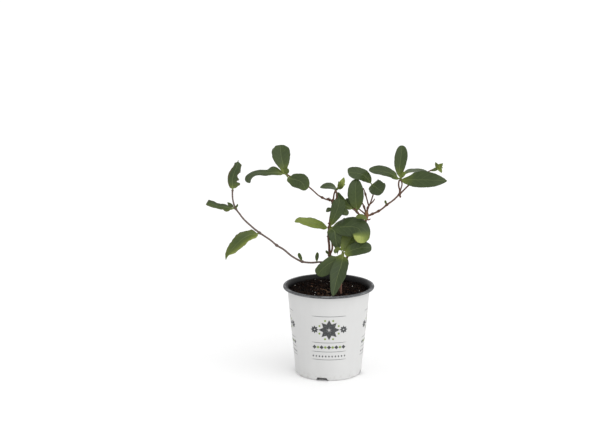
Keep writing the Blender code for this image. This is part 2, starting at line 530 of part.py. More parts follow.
leaf("leaf_arm_e", [(89, 12, 246), (98, 6, 246.7), (112.5, 0, 247.8), (127, -5, 248.6), (138, -6, 248.3),
                    (146, -5, 247.2)], 20.5,
     ((0.1, -0.8, 0.55), (0.1, -0.85, 0.5), (0.1, -0.85, 0.4)), DARK, fall=0.55, fold=0.12, clear=1.7)

# Young tips: the one on the top fork and the pale star on the arm
top_tip = leaf("shoot_top", [(9, -5, 236), (12, -5.5, 239), (15.6, -6, 243.6), (19.4, -5, 251.5)], 6.5,
               ((-0.5, -0.8, 0.3), (-0.5, -0.8, 0.3), (-0.5, -0.8, 0.3)), LIGHT, clear=1.5, stalk=1.0)
combine(top_tip, [
    leaf("tip_b", [(9, -5, 236), (11.8, -5, 240), (11.4, -2, 247)], 4,
         ((0, -0.9, 0.2), (0, -0.9, 0.2), (0, -0.9, 0.2)), LIGHT, clear=1.5, stalk=1.0),
    leaf("tip_c", [(9, -5, 236), (12.5, -6, 239), (20.4, -8.5, 242)], 4.5,
         ((0, -0.7, 0.7), (0, -0.7, 0.7), (0, -0.7, 0.7)), LIGHT, clear=1.5, stalk=1.0),
    tube("tip_core", [(10.6, -5.2, 238, 0.8), (12.2, -5.6, 240.4, 0.9)], LIGHT, sides=6, step=1.0),
], "UNION")
star = tube("shoot_arm", [(131.9, 31.3, 254.8, 0.9), (136.5, 31.6, 256.6, 1.2)], LIGHT, sides=6, step=2.0)
combine(star, [
    leaf("star_a", [(135, 31.5, 256), (134.2, 32.5, 259), (133, 33, 263)], 4.6,
         ((0, -0.9, 0.2), (0, -0.9, 0.2), (0, -0.9, 0.2)), LIGHT, clear=0.4, stalk=0.6),
    leaf("star_b", [(135.5, 31.5, 256.4), (139, 31, 258.5), (142.8, 30, 261.8)], 4.8,
         ((-0.3, -0.9, 0.3), (-0.3, -0.9, 0.3), (-0.3, -0.9, 0.3)), LIGHT, clear=0.4, stalk=0.6),
    leaf("star_c", [(135.5, 31.5, 256.2), (138.8, 29, 255), (141.7, 27, 252)], 4.8,
         ((0.2, -0.8, 0.5), (0.2, -0.8, 0.5), (0.2, -0.8, 0.5)), LIGHT, clear=0.4, stalk=0.6),
    leaf("star_d", [(135.5, 31.5, 256.2), (139, 34, 257), (142.5, 36, 256.5)], 4.2,
         ((0, -0.6, 0.8), (0, -0.6, 0.8), (0, -0.6, 0.8)), LIGHT, clear=0.4, stalk=0.6),
], "UNION")

# Side buds
leaf("bud_low_a", [(-34, -18, 149), (-35.4, -18.4, 153), (-37.6, -18.6, 158.5)], 3.6,
     ((0, -0.95, 0.1), (0, -0.95, 0.1)), SHOOT, fold=0.5, stalk=1.0, clear=2.8)
leaf("bud_low_b", [(-15, -11.4, 145), (-14.9, -12, 150), (-14.3, -12.4, 158)], 3.2,
     ((0, -0.95, 0.1), (0, -0.95, 0.1)), SHOOT, fold=0.5, stalk=1.0, clear=1.6)
leaf("bud_arm", [(72, 11, 214), (71.2, 10.6, 217), (70.8, 10.4, 220)], 2.4,
     ((0, -0.95, 0.1), (0, -0.95, 0.1)), SHOOT, fold=0.5, stalk=0.8, stalk_radius=0.6)
leaf("bud_centre", [(1, -6, 153), (-1.4, -8.3, 156.5), (-3.8, -9.4, 160)], 3.2,
     ((-0.3, -0.8, 0.3), (-0.3, -0.8, 0.3)), SHOOT, fold=0.5, stalk=1.0, clear=3.3)
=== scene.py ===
"""Potted honeysuckle: the finished pot, its soil, and the living stems and leaves.

Lengths are in millimetres and are turned into metres where a mesh is made. +Z is up, +X is to the
right and -Y is the side that is looked at. The origin is the middle of the pot's foot.
"""

import math

import bpy
import numpy as np
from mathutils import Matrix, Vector


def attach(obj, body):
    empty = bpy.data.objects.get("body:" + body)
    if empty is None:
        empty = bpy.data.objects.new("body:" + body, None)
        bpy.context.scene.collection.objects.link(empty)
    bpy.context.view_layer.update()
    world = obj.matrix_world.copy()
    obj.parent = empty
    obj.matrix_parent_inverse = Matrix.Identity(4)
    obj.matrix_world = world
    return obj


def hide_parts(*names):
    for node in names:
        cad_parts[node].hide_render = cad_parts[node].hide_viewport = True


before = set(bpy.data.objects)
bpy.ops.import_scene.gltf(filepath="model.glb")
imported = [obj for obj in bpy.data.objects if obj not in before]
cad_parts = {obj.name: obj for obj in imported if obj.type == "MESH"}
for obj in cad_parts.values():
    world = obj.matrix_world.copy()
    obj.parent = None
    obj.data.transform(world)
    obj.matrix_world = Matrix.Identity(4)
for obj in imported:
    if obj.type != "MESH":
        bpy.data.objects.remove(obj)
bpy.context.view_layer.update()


# The pot is a thin nursery pot of plastic, moulded in one piece: white outside, black inside, with
# a dark rolled lip. It stands on a low heel with four drain notches, and it holds everything else.
MM = 0.001
POT_HEIGHT = 113.0
POT_LIP_RADIUS = 57.15
POT_LIP_THICK = 2.8
POT_WALL_TOP_RADIUS = 52.0
POT_TAPER = 0.0962
POT_WALL = 1.2
POT_FLOOR_TOP = 2.8
POT_FOOT_RADIUS = 39.4
POT_PAD_RADIUS = 13.0
NOTCH_ANGLES = (-12.0, 78.0, 168.0, 258.0)
NOTCH_FOOT_WIDTH = 15.0
NOTCH_TOP_WIDTH = 11.0
NOTCH_HEIGHT = 4.2


class Wire:
    """A node socket in a shader graph, so that shader maths reads as a Python expression."""

    def __init__(self, tree, socket=None):
        self.tree = tree
        self.socket = socket

    def node(self, kind, inputs=(), output=0, **settings):
        """Adds a shader node of a kind, with its settings made first and then its sockets, which are
        given by name or number and hold a value or another wire. Returns one output as a wire."""
        made = self.tree.nodes.new("ShaderNode" + kind)
        for name, value in settings.items():
            if name == "stops":
                ramp = made.color_ramp.elements
                while len(ramp) < len(value):
                    ramp.new(0.5)
                for stop, (place, colour) in zip(ramp, value):
                    stop.position = place
                    stop.color = (*colour, 1.0)
            else:
                setattr(made, name, value)
        for key, value in dict(inputs).items():
            if isinstance(value, Wire):
                self.tree.links.new(value.socket, made.inputs[key])
            else:
                made.inputs[key].default_value = value
        return Wire(self.tree, made.outputs[output])

    def maths(self, operation, *values):
        return self.node("Math", dict(enumerate(values)), operation=operation)

    def __add__(self, other):
        return self.maths("ADD", self, other)

    def __sub__(self, other):
        return self.maths("SUBTRACT", self, other)

    def __rsub__(self, other):
        return self.maths("SUBTRACT", other, self)

    def __mul__(self, other):
        return self.maths("MULTIPLY", self, other)

    def __truediv__(self, other):
        return self.maths("DIVIDE", self, other)

    def __pow__(self, other):
        return self.maths("POWER", self, other)

    def __abs__(self):
        return self.maths("ABSOLUTE", self)

    __radd__ = __add__
    __rmul__ = __mul__

    def step(self, low, high):
        """Smooth step: 0 below low, 1 above high, and an S curve between them."""
        return self.node("MapRange", {"Value": self, "From Min": low, "From Max": high},
                         interpolation_type="SMOOTHSTEP")

    def blend(self, first, second):
        """Colour that goes from the first to the second as this wire goes from 0 to 1."""
        rgba = [(*c, 1.0) if isinstance(c, tuple) else c for c in (first, second)]
        return self.node("Mix", {0: self, 6: rgba[0], 7: rgba[1]}, output=2, data_type="RGBA")

    def ramp(self, *stops):
        """Colour ramp of this wire: each stop is a place and a colour."""
        return self.node("ValToRGB", {0: self}, stops=stops)

    def stretch(self, scale):
        """This vector with its three parts multiplied by a scale each."""
        return self.node("Mapping", {"Vector": self, "Scale": scale})

    def noise(self, scale, detail=3.0, roughness=0.55):
        """Soft noise between 0 and 1 at the places of this vector."""
        return self.node("TexNoise", {"Vector": self, "Scale": scale, "Detail": detail,
                                      "Roughness": roughness})

    def part(self, number):
        """One of the three parts of this vector."""
        return self.node("SeparateXYZ", {0: self}, output=number)


def new_material(name, shine=0.5):
    """Principled material whose mirror-like part has a given level, 0.5 for plain plastic or water.
    Returns it, its shader and a wire to start from."""
    made = bpy.data.materials.new(name)
    made.use_nodes = True
    shader = made.node_tree.nodes["Principled BSDF"]
    shader.inputs["Specular IOR Level"].default_value = shine
    return made, shader, Wire(made.node_tree)


def feed(shader, colour=None, roughness=None, height=None, distance=0.0002, strength=1.0):
    """Links wires to a shader: its base colour, its roughness and a height that bumps its normal."""
    tree = shader.id_data
    if colour:
        tree.links.new(colour.socket, shader.inputs["Base Color"])
    if roughness:
        tree.links.new(roughness.socket, shader.inputs["Roughness"])
    if height:
        bump = height.node("Bump", {"Height": height, "Distance": distance, "Strength": strength})
        tree.links.new(bump.socket, shader.inputs["Normal"])


def ring_faces(count, sides):
    """Quads of a tube of rings, and a fan that closes each end on the two points after the rings."""
    i, j = np.meshgrid(np.arange(count - 1), np.arange(sides), indexing="ij")
    k = (j + 1) % sides
    quads = np.stack([i * sides + j, i * sides + k, (i + 1) * sides + k, (i + 1) * sides + j], axis=-1)
    j = np.arange(sides)
    k = (j + 1) % sides
    last = (count - 1) * sides
    start, end = count * sides, count * sides + 1
    near = np.stack([k, j, np.full(sides, start)], axis=-1)
    far = np.stack([last + j, last + k, np.full(sides, end)], axis=-1)
    return quads.reshape(-1, 4).tolist() + near.tolist() + far.tolist()


def make_piece(name, points, faces, material, slot, replaces=(), **attributes):
    """Smooth mesh of points in millimetres, with a number or a vector on each point for each
    attribute. It rides on the one body and stands for the nodes that it replaces."""
    mesh = bpy.data.meshes.new(name)
    mesh.from_pydata((np.asarray(points) * MM).tolist(), [], faces)
    for key, values in attributes.items():
        values = np.asarray(values, np.float32)
        kind, field = ("FLOAT", "value") if values.ndim == 1 else ("FLOAT_VECTOR", "vector")
        mesh.attributes.new(key, kind, "POINT").data.foreach_set(field, values.ravel())
    mesh.polygons.foreach_set("use_smooth", np.ones(len(mesh.polygons), bool))
    mesh.materials.append(material)
    mesh.update()
    made = bpy.data.objects.new(name, mesh)
    bpy.context.scene.collection.objects.link(made)
    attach(made, "root")
    if replaces:
        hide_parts(*replaces)
    return made


def wall_radius(z):
    """Outer radius of the pot's wall at a height: a straight taper."""
    return POT_WALL_TOP_RADIUS - POT_TAPER * (POT_HEIGHT - z)


def pot_points(turns=288):
    """The pot as a profile turned about Z, from the middle of the underside out, up the wall, over the
    lip and down the inside. At a drain notch the rows of the heel are lifted to the notch's roof,
    a flat arch with sloping sides. Returns the points, and how dark the plastic is at each. The
    inner part of each notch's roof is painted black: painted shade of the recess under the pot."""
    under = POT_HEIGHT - POT_LIP_THICK
    lip = POT_LIP_RADIUS
    inner = wall_radius(4.6) - POT_WALL
    heel = [(POT_FOOT_RADIUS - 3.9, 0.35), (POT_FOOT_RADIUS - 3.5, 0.05), (POT_FOOT_RADIUS - 3.0, 0.0),
            (POT_FOOT_RADIUS, 0.0), (40.2, 0.2), (40.75, 0.7), (41.1, 1.3), (41.38, 2.2)]
    wall = [(wall_radius(z), z) for z in (3.2, 3.9, 4.6, 6.0, 10, 30, 50, 70, 90, 104, 106.8)]
    wall += [(wall_radius(107.4) + 0.1, 107.4), (wall_radius(108.4) + 0.3, 108.4),
             (wall_radius(109.4) + 0.6, 109.4), (wall_radius(under) + 1.0, under)]
    turn = np.radians(np.linspace(-80, 90, 9))
    roll = np.column_stack([lip - 1.15 + 1.15 * np.cos(turn), under + 1.2 + 1.2 * np.sin(turn)])
    roll[:, 1] += np.linspace(0, 0.4, 9)
    crown = [(lip - 2.4, POT_HEIGHT - 0.1), (lip - 3.6, POT_HEIGHT - 0.15), (lip - 4.6, POT_HEIGHT - 0.5),
             (lip - 5.3, POT_HEIGHT - 1.2), (lip - 5.9, POT_HEIGHT - 2.2),
             (wall_radius(108) - POT_WALL, 108.0), (wall_radius(100) - POT_WALL, 100.0),
             (wall_radius(60) - POT_WALL, 60.0), (wall_radius(20) - POT_WALL, 20.0)]
    floor = [(inner, 4.6), (inner - 1.6, POT_FLOOR_TOP), (inner - 6.0, POT_FLOOR_TOP), (2.0, POT_FLOOR_TOP)]
    pad = [(2.0, 0.0), (POT_PAD_RADIUS - 0.3, 0.0), (POT_PAD_RADIUS + 0.6, 0.7), (POT_PAD_RADIUS + 1.4, 1.0),
           (POT_FOOT_RADIUS - 5.4, 1.0)]
    profile = np.array(pad + heel + wall + roll.tolist() + crown + floor)
    dark = np.zeros(len(profile))
    dark[len(pad + heel + wall) - 1:] = 0.75
    dark[len(pad + heel + wall) + len(roll) + 1:] = 1.0
    angle = np.linspace(0, math.tau, turns, endpoint=False)
    from_front = np.radians(np.array(NOTCH_ANGLES) - 90)
    apart = np.abs((angle[:, None] - from_front + math.pi) % math.tau - math.pi).min(axis=1)
    across = apart * POT_FOOT_RADIUS
    slope = (NOTCH_FOOT_WIDTH / 2 - across) / (NOTCH_FOOT_WIDTH - NOTCH_TOP_WIDTH) * 2
    arch = NOTCH_HEIGHT * np.clip(slope, 0, 1)
    radius = profile[:, :1] + np.zeros(turns)
    z = profile[:, 1:] + np.zeros(turns)
    first, last = len(pad), len(pad + heel) + 3
    lifted = np.maximum(z[first:last], arch)
    notch_painted_shade = (lifted > z[first:last] + 0.01).astype(float)
    z[first:last] = lifted
    over = slice(len(profile) - 4, len(profile) - 2)
    z[over] = np.maximum(z[over], arch + 1.2 * (arch > 0))
    points = np.stack([radius * np.cos(angle), radius * np.sin(angle), z], axis=-1)
    shade = dark[:, None] + np.zeros(turns)
    # Inside each notch the lifted rows are painted black, as painted shade of the recess under the pot.
    shade[first:last] = np.maximum(shade[first:last], notch_painted_shade * (radius[first:last] < 40.9))
    ends = [(0, 0, 0), (0, 0, POT_FLOOR_TOP)]
    return np.vstack([points.reshape(-1, 3), ends]), np.append(shade.ravel(), (0, 1)), len(profile)


def pot_material():
    """White plastic with faint flow marks, dust and scuffs. Where the "dark" attribute is 1 it is the
    black inside, and also the painted shade in the roof of each drain notch. At 0.75 it is the lip:
    dark grey with lighter streaks that are painted reflection."""
    made, shader, start = new_material("pot_plastic", 0.2)
    place = start.node("TexCoord", output=3)
    dark = start.node("Attribute", attribute_name="dark", output=2)
    edge = dark.step(0.35, 0.65)
    height = place.part(2)
    cloud = place.noise(18.0, 4.0)
    flow = place.stretch((60.0, 60.0, 6.0)).noise(1.0, 3.0)
    dust = (1 - (height / 0.012).step(0.0, 1.0)) * place.noise(260.0, 5.0).step(0.45, 0.75)
    scuff = place.stretch((900.0, 900.0, 120.0)).noise(1.0, 2.0).step(0.68, 0.74) * cloud.step(0.5, 0.7)
    white = (cloud * 0.6 + flow * 0.4).ramp((0.3, (0.575, 0.575, 0.57)), (0.7, (0.62, 0.62, 0.615)))
    white = (dust * 0.35 + scuff * 0.12).blend(white, (0.26, 0.23, 0.2))
    # The lighter streaks along the lip are painted reflection of the room, laid over its dark grey plastic.
    lip_painted_reflection = place.stretch((60.0, 60.0, 1100.0)).noise(1.0, 3.0)
    lip = (lip_painted_reflection * 0.7 + place.noise(500.0, 2.0) * 0.3).ramp(
        (0.4, (0.042, 0.045, 0.047)), (0.5, (0.085, 0.088, 0.092)), (0.6, (0.2, 0.205, 0.21)))
    black = cloud.ramp((0.3, (0.002, 0.002, 0.002)), (0.7, (0.004, 0.004, 0.004)))
    black = dark.step(0.8, 0.95).blend(lip, black)
    feed(shader, edge.blend(white, black), 0.42 + cloud * 0.12,
         place.noise(900.0, 2.0) * 0.3 + flow * 0.7, distance=0.0001, strength=0.35)
    return made


pot_grid, pot_dark, pot_rings = pot_points()
make_piece("pot_shell", pot_grid, ring_faces(pot_rings, 288), pot_material(), "pot_plastic", ["pot"],
           dark=pot_dark)


# The print on the pot is ink on the outer wall, put on before the plant goes in. It is a plain quilt
# ornament, the same on four sides: a star of lozenges between two small ones, over bands of beads.
INK_LIFT = 0.06
INK_DEPTH = 0.05


def inked(centre, half_width, across=7):
    """Thin closed film on the wall. The centre line runs along the wall as (sideways, height) in
    millimetres, each of its points has a half width, and the film follows the cone between them."""
    centre = np.asarray(centre, float)
    along = np.gradient(centre, axis=0)
    along /= np.linalg.norm(along, axis=1, keepdims=True)
    side = np.column_stack([along[:, 1], -along[:, 0]])
    e = np.concatenate([np.linspace(1, -1, across), np.linspace(-1, 1, across)])
    lift = np.repeat([-INK_DEPTH, INK_LIFT], across)
    spot = centre[:, None] + side[:, None] * (np.asarray(half_width)[:, None] * e)[..., None]
    radius = wall_radius(spot[..., 1]) + lift
    angle = spot[..., 0] / wall_radius(spot[..., 1]) - math.pi / 2
    points = np.stack([radius * np.cos(angle), radius * np.sin(angle), spot[..., 1]], axis=-1)
    ends = [points[0].mean(axis=0), points[-1].mean(axis=0)]
    return np.vstack([points.reshape(-1, 3), ends]), ring_faces(len(centre), 2 * across)


def dot(middle, radius, steps=11):
    """Round dot: the half width of a strip that runs from its lowest point to its highest."""
    turn = np.linspace(0.0, math.pi, steps)
    line = np.array(middle) + np.column_stack([np.zeros(steps), -radius * np.cos(turn)])
    return line, radius * np.sin(turn) + 0.02


def lozenge(middle, width, length, lean=0.0):
    """Lozenge that leans from upright by an angle in degrees: a strip whose half width rises evenly to
    its middle and falls again."""
    t = np.linspace(-1.0, 1.0, 9)
    way = np.array((math.sin(math.radians(lean)), math.cos(math.radians(lean))))
    return np.array(middle) + length / 2 * t[:, None] * way, width / 2 * (1 - np.abs(t)) + 0.03


def star(middle, reach, width, inner, points=8):
    """Lozenges that point out from one middle, evenly turned, from an inner radius to the reach."""
    far = (inner + reach) / 2
    leans = np.arange(points) * 360.0 / points
    return [lozenge((middle[0] + far * math.sin(math.radians(a)), middle[1] + far * math.cos(math.radians(a))),
                    width, reach - inner, a) for a in leans]


def rule(height, half_length, width, steps=41):
    """Thin level rule, tapered at both ends."""
    t = np.linspace(-1.0, 1.0, steps)
    return np.column_stack([t * half_length, np.full(steps, height)]), width / 2 * (1 - t**8) + 0.02


ink_dark = star((0.0, 68.0), 13.2, 6.4, 0.8)
for way in (-1, 1):
    ink_dark += star((way * 18.4, 68.0), 5.2, 2.6, 0.5)
ink_dark += [lozenge((x, 45.0), 5.2, 5.2) for x in np.arange(-2, 3) * 9.2]
ink_dark += [lozenge((x, 33.0), 2.0, 3.0) for x in np.arange(-5, 6) * 4.0]
ink_green = [dot((13.0 * math.sin(a), 68.0 + 13.0 * math.cos(a)), 1.25)
             for a in np.radians(22.5 + 45.0 * np.arange(8))]
ink_green += [dot((x, 45.0), 1.6) for x in (-13.8, -4.6, 4.6, 13.8)]
ink_grey = [rule(height, 22.5, 0.55) for height in (85.5, 51.0, 39.0, 28.5)]


def ink_material(name, colour):
    """Matt ink that is a little thin in places, so that the white shows through as fine grain."""
    made, shader, start = new_material(name)
    place = start.node("TexCoord", output=3)
    thin = place.noise(700.0, 3.0).step(0.5, 0.8) * 0.25
    feed(shader, thin.blend(colour, (0.5, 0.5, 0.49)), 0.5 + thin * 0.4)
    return made


def all_round(strips):
    """The strips' films on all four sides of the pot, as one set of points and faces."""
    points, faces, count = [], [], 0
    for quarter in range(4):
        turn = quarter * math.pi / 2
        spin = np.array([[math.cos(turn), math.sin(turn), 0], [-math.sin(turn), math.cos(turn), 0],
                         [0, 0, 1]])
        for strip in strips:
            film, skin = inked(*strip)
            points.append(film @ spin)
            faces += [[corner + count for corner in face] for face in skin]
            count += len(film)
    return np.vstack(points), faces


for ink, strips, colour in (("dark", ink_dark, (0.035, 0.038, 0.04)), ("grey", ink_grey, (0.1, 0.105, 0.11)),
                            ("green", ink_green, (0.19, 0.27, 0.05))):
    make_piece("pot_print_" + ink, *all_round(strips), ink_material("ink_" + ink, colour), "pot_plastic")


# The soil is a damp mix of peat and fine bark, dropped in loose and pressed down by watering. It
# is lumpy on top, holds chips, fibres and a few white grains, and has sunk a little below the lip.
SOIL_TOP = 107.6
SOIL_GAP = 0.3
SOIL_EDGE = wall_radius(104.5) - POT_WALL - SOIL_GAP - 0.2
STEM_FEET = ((5.0, -8.0), (14.0, -14.0), (15.0, -20.0))
chance = np.random.default_rng(7)
GRAIN = chance.random((24, 24, 24))


def grain(places, cell):
    """Smooth noise from -1 to 1: random numbers on a lattice of cells, eased between its corners."""
    at = np.asarray(places, float) / cell
    low = np.floor(at).astype(int)
    t = at - low
    t = t * t * (3 - 2 * t)
    total = np.zeros(at.shape[:-1])
    for corner in np.ndindex(2, 2, 2):
        index = (low + corner) % 24
        weight = np.prod(np.where(corner, t, 1 - t), axis=-1)
        total += weight * GRAIN[index[..., 0], index[..., 1], index[..., 2]]
    return 2 * total - 1


def soil_level(x, y):
    """Height of the soil: low mounds and clods from sines, with a slight dip at the wall."""
    mounds = 0.9 * np.sin(x / 13 + 0.6) * np.cos(y / 11 - 0.4)
    clods = 0.7 * np.sin(x / 2.9 + 1.3 * np.sin(y / 5.3)) * np.sin(y / 3.1 + 0.8)
    return SOIL_TOP - 0.012 * x + mounds + clods - 1.3 * (np.hypot(x, y) / 50) ** 6


def soil_surface(x, y):
    """The soil's level with crumbs of three sizes on it, and a low rim of soil round each stem."""
    spot = np.stack([x, y, np.zeros_like(x)], axis=-1)
    crumbs = 0.7 * grain(spot, 3.1) + 0.5 * grain(spot, 1.4) + 0.25 * grain(spot, 0.8)
    rim = sum(0.8 * np.exp(-((np.hypot(x - sx, y - sy) - 2.6) / 1.6) ** 2) for sx, sy in STEM_FEET)
    return soil_level(x, y) + crumbs + rim


def dryness(x, y):
    """How dry the soil looks: 1 in a patch in front of the middle, falling away by a bell curve."""
    return np.exp(-(((x - 2) / 24) ** 2) - ((y + 24) / 30) ** 2)


def soil_bed(turns=360, rings=64):
    """The bed: rings from the middle of the bottom out, up the pot's wall and in over the top."""
    angle = np.linspace(0, math.tau, turns, endpoint=False)
    foot = wall_radius(6) - POT_WALL - SOIL_GAP - 1.4
    out = np.concatenate([[1.0, foot - 6.0, foot - 1.0, foot, SOIL_EDGE - 0.4],
                          SOIL_EDGE * (1 - np.linspace(0, 1, rings) ** 0.9 * 0.985)])
    x, y = out[:, None] * np.cos(angle), out[:, None] * np.sin(angle)
    z = soil_surface(x, y)
    z[:5] = np.array([3.1, 3.1, 6.0, 8.0, SOIL_TOP - 4])[:, None]
    points = np.stack([x, y, z], axis=-1).reshape(-1, 3)
    ends = [(0, 0, 3.1), (0, 0, float(z[-1].mean()))]
    return np.vstack([points, ends]), ring_faces(len(out), turns)


def soil_material(name, *stops, spread=0.5):
    """Damp organic matter: a ramp of browns by fine noise and by each bit's own "tone"."""
    made, shader, start = new_material(name, 0.06)
    place = start.node("TexCoord", output=3)
    tone = start.node("Attribute", attribute_name="tone", output=2)
    fine = place.noise(420.0, 5.0, 0.7)
    feed(shader, (fine * (1 - spread) + tone * spread).ramp(*stops), 0.75 + fine * 0.2,
         place.noise(1500.0, 3.0) + fine, distance=0.0004, strength=0.8)
    return made


bed_points, bed_faces = soil_bed()
bed_tone = (0.5 + 0.5 * grain(bed_points, 2.2)) * (0.55 + 0.45 * dryness(bed_points[:, 0], bed_points[:, 1]))
make_piece("soil_bed", bed_points, bed_faces,
           soil_material("soil_peat", (0.28, (0.0015, 0.001, 0.0008)), (0.5, (0.005, 0.003, 0.0022)),
                         (0.68, (0.014, 0.008, 0.0055)), (0.82, (0.04, 0.022, 0.014))),
           "soil", ["soil"], tone=bed_tone)


def scattered(count, reach=0.985):
    """Random places on the soil, spread evenly over its disc."""
    radius = (SOIL_EDGE - 0.8) * reach * np.sqrt(chance.random(count))
    angle = chance.random(count) * math.tau
    return radius * np.cos(angle), radius * np.sin(angle)


def turned(shapes, tilt):
    """Shapes, one row of points each, turned at random about Z and tipped by up to an angle."""
    count = len(shapes)
    yaw, lean, roll = (chance.random((3, count)) - 0.5) * np.array([[math.tau], [tilt], [tilt]])
    x, y, z = np.moveaxis(shapes, -1, 0)
    y, z = y * np.cos(roll)[:, None] - z * np.sin(roll)[:, None], y * np.sin(roll)[:, None] + z * np.cos(roll)[:, None]
    x, z = x * np.cos(lean)[:, None] + z * np.sin(lean)[:, None], z * np.cos(lean)[:, None] - x * np.sin(lean)[:, None]
    x, y = x * np.cos(yaw)[:, None] - y * np.sin(yaw)[:, None], x * np.sin(yaw)[:, None] + y * np.cos(yaw)[:, None]
    return np.stack([x, y, z], axis=-1)


def strew(name, template, faces, sizes, material, tilt=2.0, rough=0.2, sink=0.25):
    """Many copies of a small shape, each jittered, stretched to its own size and laid on the soil."""
    count = len(sizes)
    jitter = 1 + rough * (chance.random((count, len(template), 3)) - 0.5) * 2
    shapes = turned(template[None] * jitter * sizes[:, None], tilt)
    x, y = scattered(count)
    z = soil_surface(x, y) + sizes.min(axis=1) * (0.5 - sink)
    points = shapes + np.stack([x, y, z], axis=-1)[:, None]
    points[..., :2] *= np.minimum(1, (SOIL_EDGE - 0.2) / np.hypot(points[..., 0], points[..., 1]))[..., None]
    tone = np.repeat(chance.random(count) * (0.62 + 0.38 * dryness(x, y)), len(template))
    all_faces = (np.asarray(faces)[None] + np.arange(count)[:, None, None] * len(template)).reshape(-1, 3)
    return make_piece(name, points.reshape(-1, 3), all_faces.tolist(), material, "soil", tone=tone)


GOLD = (1 + math.sqrt(5)) / 2
CRUMB = np.array([(-1, GOLD, 0), (1, GOLD, 0), (-1, -GOLD, 0), (1, -GOLD, 0), (0, -1, GOLD), (0, 1, GOLD),
                  (0, -1, -GOLD), (0, 1, -GOLD), (GOLD, 0, -1), (GOLD, 0, 1), (-GOLD, 0, -1),
                  (-GOLD, 0, 1)]) / GOLD / 2.2
CRUMB_FACES = [(0, 11, 5), (0, 5, 1), (0, 1, 7), (0, 7, 10), (0, 10, 11), (1, 5, 9), (5, 11, 4), (11, 10, 2),
               (10, 7, 6), (7, 1, 8), (3, 9, 4), (3, 4, 2), (3, 2, 6), (3, 6, 8), (3, 8, 9), (4, 9, 5),
               (2, 4, 11), (6, 2, 10), (8, 6, 7), (9, 8, 1)]
crumb_size = 0.7 + 2.2 * chance.random((2600, 1)) ** 3
strew("soil_crumbs", CRUMB, CRUMB_FACES, crumb_size * (0.7 + 0.6 * chance.random((2600, 3))),
      soil_material("crumbs", (0.15, (0.0015, 0.001, 0.0008)), (0.5, (0.007, 0.004, 0.003)),
                    (0.68, (0.035, 0.018, 0.012)), (0.85, (0.13, 0.085, 0.055)), spread=0.7), rough=0.3)
chip_size = np.column_stack([2.0 + 5.5 * chance.random(420) ** 2, 1.2 + 2.0 * chance.random(420),
                             0.5 + 0.6 * chance.random(420)])
strew("bark_chips", CRUMB, CRUMB_FACES, chip_size,
      soil_material("bark_chips", (0.1, (0.004, 0.002, 0.0015)), (0.5, (0.018, 0.008, 0.005)),
                    (0.72, (0.075, 0.032, 0.018)), (0.9, (0.22, 0.14, 0.085)), spread=0.85), tilt=0.9, rough=0.3)
grit_size = 0.6 + 1.2 * chance.random((40, 1)) ** 2 * np.ones((40, 3))
strew("white_grains", CRUMB, CRUMB_FACES, grit_size,
      soil_material("white_grains", (0.0, (0.16, 0.15, 0.13)), (0.7, (0.6, 0.58, 0.54))), rough=0.25,
      sink=0.1)


def fibres(count=230, rings=7, sides=4):
    """Bent threads of peat and root: each a thin tube whose heading drifts as it goes."""
    length = 3.0 + 9.0 * chance.random(count) ** 2
    heading = chance.random(count)[:, None] * math.tau
    heading = heading + np.cumsum((chance.random((count, rings)) - 0.5) * 0.9, axis=1)
    step = length[:, None] / rings
    x, y = scattered(count, 0.9)
    x = x[:, None] + np.cumsum(np.cos(heading) * step, axis=1)
    y = y[:, None] + np.cumsum(np.sin(heading) * step, axis=1)
    arch = np.sin(np.linspace(0, math.pi, rings)) * (0.3 + 1.2 * chance.random((count, 1)) ** 2)
    z = soil_surface(x, y) + arch + 0.1
    pull = np.minimum(1, (SOIL_EDGE - 0.6) / np.hypot(x, y))
    middle = np.stack([x * pull, y * pull, z], axis=-1)
    turn = np.arange(sides) * math.tau / sides
    thick = (0.14 + 0.2 * chance.random((count, 1))) * np.linspace(1.1, 0.5, rings)
    out = np.stack([-np.sin(heading), np.cos(heading), np.zeros_like(x)], axis=-1)
    rings_at = out[:, :, None] * np.cos(turn)[:, None] + np.array([0, 0, 1.0]) * np.sin(turn)[:, None]
    rings_at = middle[:, :, None] + rings_at * thick[:, :, None, None]
    ends = middle[:, [0, -1]]
    points = np.concatenate([rings_at.reshape(count, -1, 3), ends], axis=1)
    each = points.shape[1]
    faces = [[corner + each * i for corner in face] for i in range(count) for face in ring_faces(rings, sides)]
    tone = np.repeat(chance.random(count) * (0.5 + 0.6 * dryness(x[:, 0], y[:, 0])), each)
    return points.reshape(-1, 3), faces, tone


fibre_points, fibre_faces, fibre_tone = fibres()
make_piece("soil_fibres", fibre_points, fibre_faces,
           soil_material("fibres", (0.1, (0.01, 0.006, 0.004)), (0.6, (0.05, 0.028, 0.016)),
                         (1.0, (0.26, 0.18, 0.1)), spread=0.85), "soil", tone=fibre_tone)


root_line = np.array([(-21.8, 13.1), (-18.3, 8.3), (-13.9, 4.9), (-10.2, -1.3), (-5.3, -6), (-0.5, -20.2)], float)
root_level = soil_surface(root_line[:, 0], root_line[:, 1]) + 0.35 + 0.5 * (np.arange(len(root_line)) % 2)


